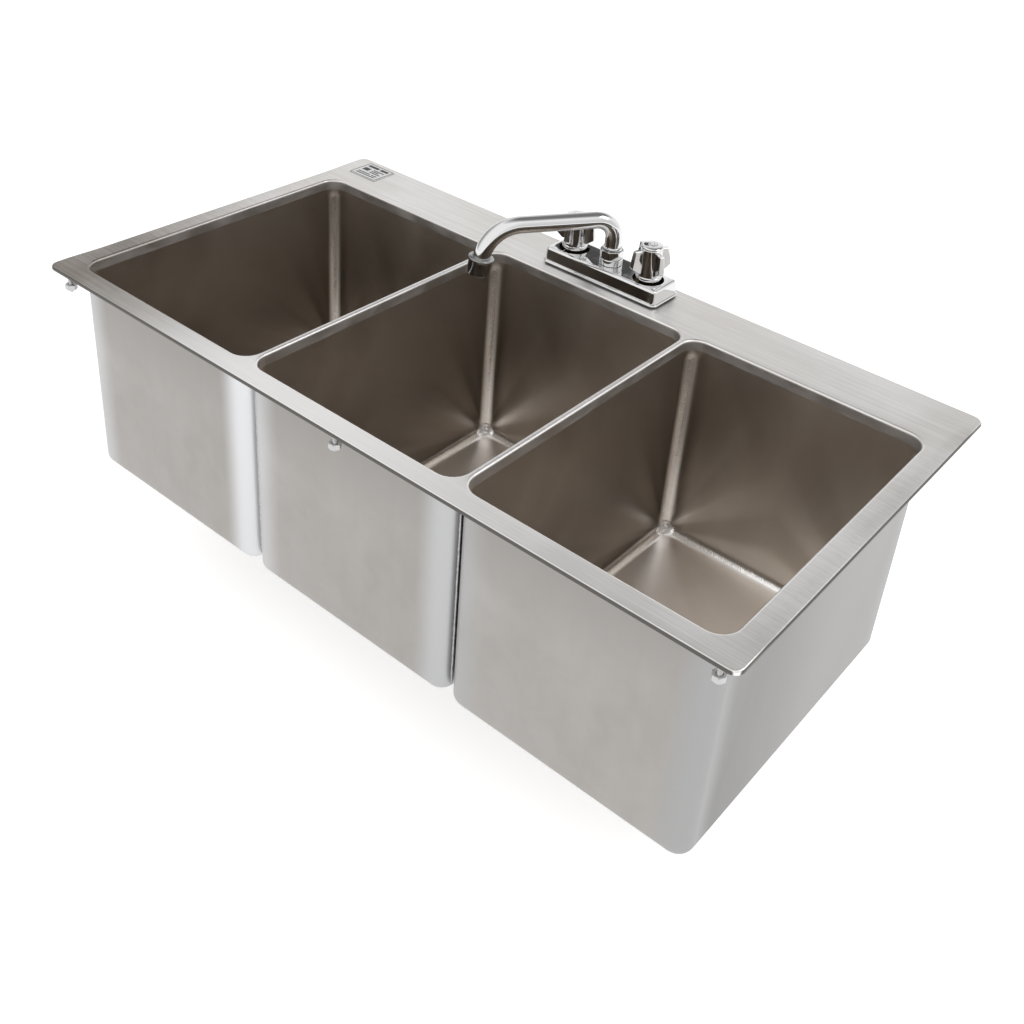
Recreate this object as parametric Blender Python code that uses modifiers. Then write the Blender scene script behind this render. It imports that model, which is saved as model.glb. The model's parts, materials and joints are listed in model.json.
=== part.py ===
"""Drop-in three compartment sink in stainless steel, with a 4 inch centreset faucet.

Units are metres.  X runs to the right along the front, Y runs to the back and Z is up.
The origin is the centre of the rim, on the plane of the counter that the rim rests on.
"""
import math

import bmesh
import bpy
from mathutils import Matrix, Vector

MM = 0.001
GAP = 0.3 * MM                  # clearance between pieces that touch

# Rim sheet
SHEET = 1.5 * MM                # steel thickness
RIM_WIDTH = 850 * MM
RIM_DEPTH = 456 * MM
RIM_CORNER = 10 * MM
DECK_Z = 4 * MM                 # top of the rim above the counter
LIP_RADIUS = 2.2 * MM           # bend along the outer edge
BAND_WIDTH = 12.5 * MM          # outer band of each side flange, which slopes down
BAND_DROP = 1.2 * MM

# Bowls
BOWL_WIDTH = 262 * MM
BOWL_DEPTH = 356 * MM
BOWL_HEIGHT = 250 * MM          # rim top to floor
OPENING_CORNER = 19 * MM        # corners of the rim's openings
BOWL_CORNER = 15 * MM           # upright corners of a bowl
COVE = 11 * MM                  # radius between wall and floor
DIVIDER = 7 * MM                # between the inner faces of two bowls
FRONT_MARGIN = 24.5 * MM
EDGE_RADIUS = 3 * MM            # roll of the rim into each bowl
COLLAR = 12 * MM                # depth of the rim's turned-down collar
FLOOR_DIP = 4 * MM              # cross break towards the drain

BOWL_NAMES = ("left", "middle", "right")
BOWL_X = tuple((index - 1) * (BOWL_WIDTH + DIVIDER) for index in range(3))
BOWL_Y = -RIM_DEPTH / 2 + FRONT_MARGIN + BOWL_DEPTH / 2
FLOOR_Z = DECK_Z - BOWL_HEIGHT

# Hold-down hardware under the rim
STUD_RADIUS = 2.5 * MM
STUD_END_Z = -25 * MM
STUD_X = (-405 * MM, 0.0, 405 * MM)
STUD_INSET = 12 * MM            # from the front and back edges of the rim
CLAMP_NUT_RADIUS = 6.2 * MM
CLAMP_NUT_Z = (-22 * MM, -16 * MM)

# Label on the deck
LABEL_SIZE = (44 * MM, 38 * MM)
LABEL_THICKNESS = 0.5 * MM
LABEL_CENTRE = (-382 * MM, 200 * MM)

# Faucet, with heights above the deck
FAUCET_Y = 193 * MM
VALVE_X = 50.8 * MM             # half of the 4 inch centres
FAUCET_LENGTH = 152 * MM
FAUCET_BREADTH = 47 * MM
FAUCET_TOP = 19 * MM
HANDLE_WELL = 17.5 * MM         # openings in the base that the handles stand in
DECK_HOLE = 12.7 * MM
HOT_TURN = 11.0                 # degrees that a handle's blades stand off the faucet's axes
COLD_TURN = -25.0
BLADE_THICKNESS = 7 * MM
SPOUT_RADIUS = 9.5 * MM
SPOUT_WALL = 1.2 * MM
SPOUT_RUN_Z = 72 * MM           # top of the first bend's centre line
SPOUT_RUN_END = 106 * MM        # reach at which the second bend starts
SPOUT_BEND = 22 * MM
SPOUT_END_BEND = 43 * MM
SPOUT_SLOPE = 1.0               # degrees that the run falls towards the outlet
SPOUT_LEAN = 9.0                # degrees that the outlet points forward of straight down
SPOUT_END = 5 * MM              # straight end inside the aerator
SPOUT_TURN = 35.4               # degrees left of straight forward, at rest
SHANK_RADIUS = 10.3 * MM
SHANK_BORE = 6.5 * MM
SHANK_END = -50 * MM

# Drains
DRAIN_HOLE = 45 * MM
TAIL_RADIUS = 19 * MM
TAIL_WALL = 1.6 * MM
TAIL_END_Z = -352 * MM
SEGMENTS = 24                   # sides of a turned piece


# ---------------------------------------------------------------- scene and materials

def clear_scene():
    """Remove every object of the scene."""
    for item in list(bpy.data.objects):
        bpy.data.objects.remove(item, do_unlink=True)


def new_collection(name):
    """A collection linked to the scene."""
    collection = bpy.data.collections.new(name)
    bpy.context.scene.collection.children.link(collection)
    return collection


def principled(name, colour, roughness, metallic):
    """A material with one Principled BSDF."""
    material = bpy.data.materials.new(name)
    material.use_nodes = True
    shader = material.node_tree.nodes["Principled BSDF"]
    shader.inputs["Base Color"].default_value = (*colour, 1.0)
    shader.inputs["Roughness"].default_value = roughness
    shader.inputs["Metallic"].default_value = metallic
    return material


clear_scene()
PARTS = new_collection("three_compartment_sink")
CUTTERS = new_collection("cutters")

BRUSHED = principled("brushed_stainless", (0.60, 0.59, 0.57), 0.36, 1.0)
BOWL_STEEL = principled("bowl_stainless", (0.50, 0.49, 0.47), 0.40, 1.0)
CHROME = principled("chrome", (0.80, 0.80, 0.81), 0.07, 1.0)
BRASS = principled("brass", (0.70, 0.55, 0.30), 0.30, 1.0)
ZINC = principled("zinc_plated_steel", (0.62, 0.63, 0.64), 0.32, 1.0)
RUBBER = principled("black_rubber", (0.03, 0.03, 0.03), 0.75, 0.0)
PAPER = principled("label_white", (0.86, 0.86, 0.85), 0.55, 0.0)


# ---------------------------------------------------------------- shape helpers

def outline(width, depth, radius, centre=(0.0, 0.0), steps=4):
    """Points of a rounded rectangle, counter-clockwise."""
    points = []
    half_x = width / 2 - radius
    half_y = depth / 2 - radius
    for quarter, (sign_x, sign_y) in enumerate(((1, 1), (-1, 1), (-1, -1), (1, -1))):
        for step in range(steps + 1):
            angle = math.radians(90 * (quarter + step / steps))
            points.append(Vector((
                centre[0] + sign_x * half_x + radius * math.cos(angle),
                centre[1] + sign_y * half_y + radius * math.sin(angle),
                0.0,
            )))
    return points


def circle(radius, centre=(0.0, 0.0), sides=SEGMENTS, turn=0.0):
    """Points of a circle or regular polygon, counter-clockwise."""
    return [
        Vector((
            centre[0] + radius * math.cos(turn + math.tau * step / sides),
            centre[1] + radius * math.sin(turn + math.tau * step / sides),
            0.0,
        ))
        for step in range(sides)
    ]


def add_loop(bm, points, z):
    """Add a closed loop of edges and return it."""
    vertices = [bm.verts.new((point.x, point.y, z)) for point in points]
    count = len(vertices)
    return [bm.edges.new((vertices[i], vertices[(i + 1) % count])) for i in range(count)]


def extrude_loop(bm, edges, core, centre, sections):
    """Extrude a rounded rectangle through (corner radius, z) sections.

    core holds half the sizes of the rectangle of the corner centres, so a section's
    radius moves the whole loop out or in.
    """
    for radius, z in sections:
        result = bmesh.ops.extrude_edge_only(bm, edges=edges)
        vertices = [item for item in result["geom"] if isinstance(item, bmesh.types.BMVert)]
        edges = [item for item in result["geom"] if isinstance(item, bmesh.types.BMEdge)]
        for vertex in vertices:
            nearest = Vector((
                centre[0] + max(-core[0], min(core[0], vertex.co.x - centre[0])),
                centre[1] + max(-core[1], min(core[1], vertex.co.y - centre[1])),
            ))
            direction = (vertex.co.xy - nearest).normalized()
            vertex.co.xy = nearest + direction * radius
            vertex.co.z = z
    return edges


def roll(radius_out, bend, z_top, outward, steps=3):
    """Sections of a quarter bend that turns from flat to straight down."""
    sections = []
    for step in range(1, steps + 1):
        angle = math.radians(90 * step / steps)
        shift = bend * (1 - math.sin(angle))
        sections.append((
            radius_out - shift if outward else radius_out + shift,
            z_top - bend * (1 - math.cos(angle)),
        ))
    return sections


def finish_mesh(bm, name):
    """Turn a bmesh into a mesh."""
    mesh = bpy.data.meshes.new(name)
    bm.to_mesh(mesh)
    bm.free()
    return mesh


def place(name, mesh, material, location=(0.0, 0.0, 0.0), turn=0.0, parent=None):
    """Add a named part, turned about Z, to the parts collection."""
    part = bpy.data.objects.new(name, mesh)
    PARTS.objects.link(part)
    part.location = location
    part.rotation_euler = (0.0, 0.0, math.radians(turn))
    part.parent = parent
    part.data.materials.clear()
    part.data.materials.append(material)
    return part


def smooth(part, angle=35.0):
    """Shade a part smooth with its sharp edges kept."""
    part.data.shade_smooth()
    part.data.set_sharp_from_angle(angle=math.radians(angle))


def solidify(part, thickness, offset=-1.0):
    """Give an open surface its thickness."""
    modifier = part.modifiers.new("thickness", "SOLIDIFY")
    modifier.thickness = thickness
    modifier.offset = offset
    modifier.use_even_offset = True


def face_up(bm):
    """Make all faces agree, with the flat ones looking up."""
    bmesh.ops.recalc_face_normals(bm, faces=bm.faces)
    flat = max(bm.faces, key=lambda face: abs(face.normal.z) * face.calc_area())
    if flat.normal.z < 0:
        bmesh.ops.reverse_faces(bm, faces=bm.faces)


def cutter(name, mesh, location=(0.0, 0.0, 0.0), turn=0.0):
    """A hidden object for a Boolean."""
    tool = bpy.data.objects.new(name, mesh)
    CUTTERS.objects.link(tool)
    tool.location = location
    tool.rotation_euler = (0.0, 0.0, math.radians(turn))
    tool.display_type = "WIRE"
    tool.hide_render = True
    return tool


def cylinders_mesh(name, items, sides=SEGMENTS):
    """A mesh of upright cylinders, each given as (x, y, radius, low z, high z)."""
    bm = bmesh.new()
    for x, y, radius, low, high in items:
        bmesh.ops.create_cone(
            bm, cap_ends=True, segments=sides, radius1=radius, radius2=radius,
            depth=high - low, matrix=Matrix.Translation((x, y, (low + high) / 2)),
        )
    return finish_mesh(bm, name)


def boolean(part, tool, operation):
    """Cut a part with a tool, or join the tool to it."""
    modifier = part.modifiers.new(operation.lower(), "BOOLEAN")
    modifier.operation = operation
    modifier.object = tool
    modifier.solver = "EXACT"


def prism(name, outlines, low, high, material, location=(0.0, 0.0, 0.0), parent=None):
    """A flat plate with holes, from low to high."""
    bm = bmesh.new()
    edges = []
    for points in outlines:
        edges += add_loop(bm, points, high)
    bmesh.ops.triangle_fill(bm, edges=edges, use_beauty=True)
    face_up(bm)
    part = place(name, finish_mesh(bm, name), material, location, parent=parent)
    solidify(part, high - low)
    smooth(part)
    return part


def turned(name, profile, material, location=(0.0, 0.0, 0.0), closed=True, turn=0.0,
           parent=None, segments=SEGMENTS):
    """A turned piece; its profile of (radius, z) runs down its outer side."""
    bm = bmesh.new()
    vertices = [bm.verts.new((radius, 0.0, z)) for radius, z in profile]
    for first, second in zip(vertices, vertices[1:]):
        bm.edges.new((first, second))
    if closed:
        bm.edges.new((vertices[-1], vertices[0]))
    part = place(name, finish_mesh(bm, name), material, location, turn, parent)
    modifier = part.modifiers.new("turn", "SCREW")
    modifier.axis = "Z"
    modifier.angle = math.tau
    modifier.steps = segments
    modifier.render_steps = segments
    modifier.use_merge_vertices = True
    modifier.merge_threshold = 0.00001
    modifier.use_smooth_shade = True
    return part


def hidden_turned(profile, segments=SEGMENTS):
    """The mesh of a turned ring, for a Boolean."""
    ring = turned("ring", profile, CHROME, segments=segments)
    graph = bpy.context.evaluated_depsgraph_get()
    mesh = bpy.data.meshes.new_from_object(ring.evaluated_get(graph))
    bpy.data.objects.remove(ring, do_unlink=True)
    return mesh


def millimetres(profile):
    """Scale a profile given in millimetres."""
    return [(radius * MM, z * MM) for radius, z in profile]


def pivot(name, location):
    """An empty on a joint's axis."""
    empty = bpy.data.objects.new(name, None)
    PARTS.objects.link(empty)
    empty.location = location
    return empty


# ---------------------------------------------------------------- rim and bowls

def make_rim():
    """The rim sheet: deck, turned-down lip and a collar for each bowl."""
    bm = bmesh.new()
    outer_core = (RIM_WIDTH / 2 - RIM_CORNER, RIM_DEPTH / 2 - RIM_CORNER)
    outer_edges = add_loop(bm, outline(
        RIM_WIDTH - 2 * LIP_RADIUS, RIM_DEPTH - 2 * LIP_RADIUS, RIM_CORNER - LIP_RADIUS,
    ), DECK_Z)
    opening_edges = []
    for x in BOWL_X:
        opening_edges.append(add_loop(bm, outline(
            BOWL_WIDTH + 2 * EDGE_RADIUS, BOWL_DEPTH + 2 * EDGE_RADIUS,
            OPENING_CORNER + EDGE_RADIUS, (x, BOWL_Y),
        ), DECK_Z))
    hole_edges = []
    for x in (-VALVE_X, VALVE_X):
        hole_edges += add_loop(bm, circle(DECK_HOLE, (x, FAUCET_Y), 24), DECK_Z)

    loops = list(outer_edges)
    for edges in opening_edges:
        loops += edges
    bmesh.ops.triangle_fill(bm, edges=loops + hole_edges, use_beauty=True)

    extrude_loop(
        bm, outer_edges, outer_core, (0.0, 0.0),
        roll(RIM_CORNER, LIP_RADIUS, DECK_Z, True) + [(RIM_CORNER, 0.0)],
    )
    core = (BOWL_WIDTH / 2 - OPENING_CORNER, BOWL_DEPTH / 2 - OPENING_CORNER)
    for x, edges in zip(BOWL_X, opening_edges):
        extrude_loop(
            bm, edges, core, (x, BOWL_Y),
            roll(OPENING_CORNER, EDGE_RADIUS, DECK_Z, False) + [(OPENING_CORNER, DECK_Z - COLLAR)],
        )

    crease = RIM_WIDTH / 2 - BAND_WIDTH
    for side in (-1, 1):
        bmesh.ops.bisect_plane(
            bm, geom=bm.verts[:] + bm.edges[:] + bm.faces[:],
            plane_co=(side * crease, 0.0, 0.0), plane_no=(1.0, 0.0, 0.0),
        )
    for vertex in bm.verts:
        beyond = abs(vertex.co.x) - crease
        if beyond > 0 and vertex.co.z > 0.2 * DECK_Z:
            vertex.co.z -= BAND_DROP * beyond / BAND_WIDTH
    face_up(bm)
    rim = place("rim_flange", finish_mesh(bm, "rim_flange"), BRUSHED)
    solidify(rim, SHEET)
    smooth(rim)


def make_bowl(label, x):
    """One deep bowl with coved corners, a cross-broken floor and a drain hole."""
    name = "bowl_" + label
    top = DECK_Z - COLLAR - GAP
    core = (BOWL_WIDTH / 2 - BOWL_CORNER, BOWL_DEPTH / 2 - BOWL_CORNER)
    sections = [(BOWL_CORNER, FLOOR_Z + COVE)]
    cove_steps = 4
    for step in range(1, cove_steps + 1):
        angle = math.radians(90 * step / cove_steps)
        sections.append((
            BOWL_CORNER - COVE * (1 - math.cos(angle)),
            FLOOR_Z + COVE * (1 - math.sin(angle)),
        ))
    bm = bmesh.new()
    edges = add_loop(bm, outline(BOWL_WIDTH, BOWL_DEPTH, BOWL_CORNER), top)
    floor_edges = extrude_loop(bm, edges, core, (0.0, 0.0), sections)
    floor = bmesh.ops.edgeloop_fill(bm, edges=floor_edges)["faces"]
    middle = bmesh.ops.poke(bm, faces=floor)["verts"]
    middle[0].co.z -= FLOOR_DIP
    face_up(bm)
    bowl = place(name, finish_mesh(bm, name), BOWL_STEEL, (x, BOWL_Y, 0.0))
    solidify(bowl, SHEET)
    hole = cylinders_mesh("drain_hole", [(0.0, 0.0, DRAIN_HOLE, FLOOR_Z - 0.02, FLOOR_Z + 0.02)])
    boolean(bowl, cutter("cut_" + name, hole, (x, BOWL_Y, 0.0)), "DIFFERENCE")
    smooth(bowl)


def make_hold_downs():
    """Welded studs under the rim and the nuts that pull it down."""
    stud_mesh = cylinders_mesh(
        "hold_down_stud",
        [(0.0, 0.0, STUD_RADIUS, STUD_END_Z, DECK_Z - SHEET - GAP)], 16,
    )
    rows = (
        ("front", -RIM_DEPTH / 2 + STUD_INSET),
        ("back", RIM_DEPTH / 2 - STUD_INSET),
    )
    for row, y in rows:
        for label, x in zip(BOWL_NAMES, STUD_X):
            stud = place(f"hold_down_stud_{row}_{label}", stud_mesh.copy(), ZINC, (x, y, 0.0))
            smooth(stud)
            prism(
                f"hold_down_nut_{row}_{label}",
                (circle(CLAMP_NUT_RADIUS, sides=6), circle(STUD_RADIUS + GAP, sides=16)),
                CLAMP_NUT_Z[0], CLAMP_NUT_Z[1], ZINC, (x, y, 0.0),
            )


def make_label():
    """The plain data label on the deck."""
    prism(
        "deck_label", (outline(LABEL_SIZE[0], LABEL_SIZE[1], 1.5 * MM, steps=2),),
        DECK_Z + GAP, DECK_Z + GAP + LABEL_THICKNESS, PAPER, (*LABEL_CENTRE, 0.0),
    )


# ---------------------------------------------------------------- faucet

def make_faucet_base():
    """The hollow chrome escutcheon, its gasket and the brass waterway inside."""
    foot = 2.5 * MM
    corner = 5.5 * MM
    bottom = 1.9 * MM
    core = (FAUCET_LENGTH / 2 - corner, FAUCET_BREADTH / 2 - corner)
    bm = bmesh.new()
    edges = add_loop(bm, outline(
        2 * (core[0] + corner) + 3 * MM, 2 * (core[1] + corner) + 3 * MM, corner + 1.5 * MM, steps=4,
    ), bottom)
    top_edges = extrude_loop(bm, edges, core, (0.0, 0.0), (
        (corner + 1.5 * MM, foot + 0.6 * MM),
        (corner + 0.9 * MM, foot + 1.4 * MM),
        (corner - 0.1 * MM, foot + 1.9 * MM),
        (corner - 1.6 * MM, FAUCET_TOP - 2.6 * MM),
        (corner - 2.4 * MM, FAUCET_TOP - 1.0 * MM),
        (corner - 4.6 * MM, FAUCET_TOP),
    ))
    bmesh.ops.edgeloop_fill(bm, edges=top_edges)
    face_up(bm)
    base = place(
        "faucet_base", finish_mesh(bm, "faucet_base"), CHROME, (0.0, FAUCET_Y, DECK_Z),
    )
    solidify(base, 2 * MM)
    holes = cylinders_mesh("faucet_base_holes", (
        (-VALVE_X, 0.0, HANDLE_WELL, 0.0, 0.03),
        (VALVE_X, 0.0, HANDLE_WELL, 0.0, 0.03),
        (0.0, 0.0, 12 * MM, 0.0, 0.03),
    ))
    boolean(base, cutter("cut_faucet_base", holes, base.location), "DIFFERENCE")
    smooth(base, 25.0)

    prism(
        "faucet_gasket",
        (
            outline(FAUCET_LENGTH - 2 * MM, FAUCET_BREADTH - 2 * MM, 5 * MM, steps=4),
            circle(DECK_HOLE, (-VALVE_X, 0.0), 24),
            circle(DECK_HOLE, (VALVE_X, 0.0), 24),
        ),
        GAP, 1.6 * MM, RUBBER, (0.0, FAUCET_Y, DECK_Z),
    )


def make_waterway():
    """The brass body under the escutcheon: two valve seats joined by a bridge."""
    bm = bmesh.new()
    bmesh.ops.create_cone(
        bm, cap_ends=True, segments=12, radius1=5.5 * MM, radius2=5.5 * MM,
        depth=2 * VALVE_X, matrix=Matrix.Translation((0.0, 0.0, 9.5 * MM))
        @ Matrix.Rotation(math.pi / 2, 4, "Y"),
    )
    waterway = place(
        "faucet_waterway", finish_mesh(bm, "faucet_waterway"), BRASS, (0.0, FAUCET_Y, DECK_Z),
    )
    bosses = cylinders_mesh("waterway_bosses", (
        (-VALVE_X, 0.0, 10.2 * MM, 3.6 * MM, 16.6 * MM),
        (VALVE_X, 0.0, 10.2 * MM, 3.6 * MM, 16.6 * MM),
        (0.0, 0.0, 10.8 * MM, 3.6 * MM, 15.6 * MM),
    ), 16)
    bores = cylinders_mesh("waterway_bores", (
        (-VALVE_X, 0.0, 7.4 * MM, 6.0 * MM, 0.03),
        (VALVE_X, 0.0, 7.4 * MM, 6.0 * MM, 0.03),
        (0.0, 0.0, 7.4 * MM, 6.0 * MM, 0.03),
    ), 16)
    inlets = cylinders_mesh("waterway_inlets", (
        (-VALVE_X, 0.0, 5.0 * MM, 0.0, 0.02),
        (VALVE_X, 0.0, 5.0 * MM, 0.0, 0.02),
    ), 16)
    boolean(waterway, cutter("join_waterway", bosses, waterway.location), "UNION")
    boolean(waterway, cutter("cut_waterway", bores, waterway.location), "DIFFERENCE")
    boolean(waterway, cutter("cut_inlets", inlets, waterway.location), "DIFFERENCE")
    smooth(waterway)


def blade_mesh(name):
    """Four flat blades around a handle, as one tool."""
    profile = millimetres(((9, 55.2), (21.6, 54.6), (24.0, 35.0), (15.5, 28.4), (9, 28.4)))
    bm = bmesh.new()
    for quarter in range(4):
        spin = Matrix.Rotation(math.radians(90 * quarter), 4, "Z")
        face = bm.faces.new([
            bm.verts.new(spin @ Vector((r, -BLADE_THICKNESS / 2, z))) for r, z in profile
        ])
        pushed = bmesh.ops.extrude_face_region(bm, geom=[face])["geom"]
        for item in pushed:
            if isinstance(item, bmesh.types.BMVert):
                item.co += spin @ Vector((0.0, BLADE_THICKNESS, 0.0))
    bmesh.ops.recalc_face_normals(bm, faces=bm.faces)
    return finish_mesh(bm, name)


def make_valve(label, x, turn):
    """A cartridge with its stem, the four-bladed handle, its screw and its button."""
    axis = pivot(f"{label}_valve_axis", (x, FAUCET_Y, DECK_Z))
    turned(f"{label}_cartridge", millimetres((
        (7.0, 20.6), (10.2, 20.2), (10.2, 17.2), (7.1, 16.9), (7.1, 6.4), (3.4, 6.4), (3.4, 20.6),
    )), BRASS, parent=axis, segments=16)
    turned(f"{label}_stem", millimetres((
        (1.9, 52.5), (3.0, 52.5), (3.0, 9.0), (1.9, 9.0),
    )), BRASS, parent=axis, segments=12)
    handle = turned(f"{label}_handle", millimetres((
        (5.5, 60.4), (9.4, 60.3), (11.6, 59.7), (12.4, 58.6), (12.4, 57.4), (11.7, 56.9),
        (11.9, 56.1), (13.3, 25.0), (14.2, 24.3), (14.4, 22.1), (13.8, 19.7), (11.3, 19.7),
        (10.6, 24.0), (3.4, 24.0), (3.4, 53.1), (2.3, 53.1), (2.3, 54.5), (4.5, 54.5),
        (4.5, 58.1), (5.5, 58.1),
    )), CHROME, turn=turn, parent=axis, segments=20)
    blades = blade_mesh(f"{label}_blades")
    boolean(handle, cutter(
        f"join_{label}_handle", blades, (x, FAUCET_Y, DECK_Z), turn,
    ), "UNION")
    turned(f"{label}_handle_screw", millimetres((
        (0.0, 57.4), (3.2, 57.2), (3.9, 56.3), (3.9, 54.8), (1.6, 54.8), (1.6, 42.5), (0.0, 42.5),
    )), ZINC, closed=False, parent=axis, segments=12)
    turned(f"{label}_index_button", millimetres((
        (0.0, 60.1), (1.1, 60.1), (1.4, 60.9), (3.8, 60.9), (5.1, 60.4), (5.1, 58.4), (0.0, 58.4),
    )), CHROME, closed=False, parent=axis, segments=16)


def spout_route():
    """Centre line of the spout, in its own vertical plane (reach, height)."""
    bend_steps = 6
    slope = math.radians(90 + SPOUT_SLOPE)
    lean = math.radians(180 - SPOUT_LEAN)
    points = [(0.0, 21.6 * MM)]
    for step in range(bend_steps + 1):
        heading = slope * step / bend_steps
        points.append((
            SPOUT_BEND * (1 - math.cos(heading)),
            SPOUT_RUN_Z - SPOUT_BEND * (1 - math.sin(heading)),
        ))
    reach, height = points[-1]
    height -= (SPOUT_RUN_END - reach) * math.tan(math.radians(SPOUT_SLOPE))
    centre = (
        SPOUT_RUN_END + SPOUT_END_BEND * math.cos(slope), height - SPOUT_END_BEND * math.sin(slope),
    )
    for step in range(bend_steps + 1):
        heading = slope + (lean - slope) * step / bend_steps
        points.append((
            centre[0] - SPOUT_END_BEND * math.cos(heading),
            centre[1] + SPOUT_END_BEND * math.sin(heading),
        ))
    reach, height = points[-1]
    points.append((reach + SPOUT_END * math.sin(lean), height + SPOUT_END * math.cos(lean)))
    return points


def make_spout():
    """The post, nut and O-ring that hold the spout, and the swinging tube itself."""
    hub = (0.0, FAUCET_Y, DECK_Z)
    axis = pivot("spout_axis", hub)
    turned("spout_post", millimetres((
        (11.2, 33.0), (11.2, 27.0), (12.8, 26.6), (12.9, 19.3), (11.6, 19.3), (11.6, 15.9),
        (7.4, 15.9), (7.4, 21.0), (9.9, 21.0), (9.9, 33.0),
    )), CHROME, hub)
    nut = prism(
        "spout_nut",
        (circle(13.4 * MM, sides=8, turn=math.radians(22.5)), circle(11.6 * MM)),
        27.3 * MM, 35.3 * MM, CHROME, hub,
    )
    web = cutter("join_spout_nut", hidden_turned(millimetres((
        (9.9, 36.6), (11.2, 36.6), (12.3, 35.9), (12.3, 35.0), (9.9, 35.0),
    ))), hub)
    boolean(nut, web, "UNION")
    turned("spout_o_ring", millimetres((
        (10.0, 34.9), (10.9, 34.9), (11.2, 34.2), (10.9, 33.4), (10.0, 33.4), (9.8, 34.2),
    )), RUBBER, hub, segments=24)

    curve = bpy.data.curves.new("spout_route", "CURVE")
    curve.dimensions = "3D"
    curve.bevel_depth = SPOUT_RADIUS
    curve.bevel_resolution = 4
    spline = curve.splines.new("POLY")
    route = spout_route()
    spline.points.add(len(route) - 1)
    for point, (reach, height) in zip(spline.points, route):
        point.co = (0.0, -reach, height, 1.0)
    guide = bpy.data.objects.new("spout_route", curve)
    CUTTERS.objects.link(guide)
    guide.matrix_world = Matrix.Translation(hub) @ Matrix.Rotation(
        math.radians(-SPOUT_TURN), 4, "Z")
    bpy.context.view_layer.update()
    graph = bpy.context.evaluated_depsgraph_get()
    mesh = bpy.data.meshes.new_from_object(guide.evaluated_get(graph))
    spout = place("spout_tube", mesh, CHROME)
    spout.matrix_world = guide.matrix_world.copy()
    bpy.data.objects.remove(guide, do_unlink=True)
    bm = bmesh.new()
    bm.from_mesh(mesh)
    bmesh.ops.remove_doubles(bm, verts=bm.verts, dist=0.00001)
    bmesh.ops.recalc_face_normals(bm, faces=bm.faces)
    outward = sum(
        face.normal.dot(face.calc_center_median() - Vector((0.0, 0.0, 0.03)))
        for face in bm.faces if face.calc_center_median().z < 0.04
        and face.calc_center_median().y > -SPOUT_RADIUS * 2
    )
    if outward < 0:
        bmesh.ops.reverse_faces(bm, faces=bm.faces)
    bm.to_mesh(mesh)
    bm.free()
    solidify(spout, SPOUT_WALL)
    collar = cutter("join_spout_collar", hidden_turned(millimetres((
        (9.0, 40.0), (10.2, 40.0), (11.2, 39.2), (11.2, 37.6), (10.6, 36.9), (9.0, 36.9),
    ))), hub)
    boolean(spout, collar, "UNION")
    smooth(spout, 40.0)
    spout.parent = axis
    spout.matrix_parent_inverse = Matrix.Translation(hub).inverted()

    turn = math.radians(SPOUT_TURN)
    reach, height = route[-1]
    outlet = (
        -reach * math.sin(turn), FAUCET_Y - reach * math.cos(turn), DECK_Z + height,
    )
    housing = turned("aerator_housing", millimetres((
        (9.8, 5.6), (13.2, 5.6), (14.3, 4.8), (14.3, 3.4), (13.0, 2.6), (12.8, -1.6),
        (12.3, -13.4), (11.6, -14.0), (10.0, -14.0), (10.0, -13.0), (10.6, -13.0), (10.6, -0.8),
        (9.8, -0.8),
    )), CHROME, outlet, segments=24)
    screen = turned("aerator_screen", millimetres((
        (0.0, -9.6), (10.2, -9.6), (10.2, -12.6), (0.0, -12.6),
    )), RUBBER, outlet, closed=False, segments=24)
    for piece in (housing, screen):
        piece.rotation_euler = (math.radians(-SPOUT_LEAN), 0.0, -turn)


def make_inlets():
    """The threaded shanks through the deck and their locknuts."""
    for label, x in (("hot", -VALVE_X), ("cold", VALVE_X)):
        location = (x, FAUCET_Y, DECK_Z)
        turned(f"{label}_inlet_shank", [
            (SHANK_RADIUS, 3.2 * MM), (SHANK_RADIUS, SHANK_END + 1.2 * MM),
            (SHANK_RADIUS - 1.2 * MM, SHANK_END), (SHANK_BORE, SHANK_END),
            (SHANK_BORE, 3.2 * MM),
        ], BRASS, location, segments=24)
        prism(
            f"{label}_shank_locknut",
            (circle(17.5 * MM, sides=6), circle(SHANK_RADIUS + GAP, sides=24)),
            -11.0 * MM, -SHEET - GAP, ZINC, location,
        )


# ---------------------------------------------------------------- drains

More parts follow.
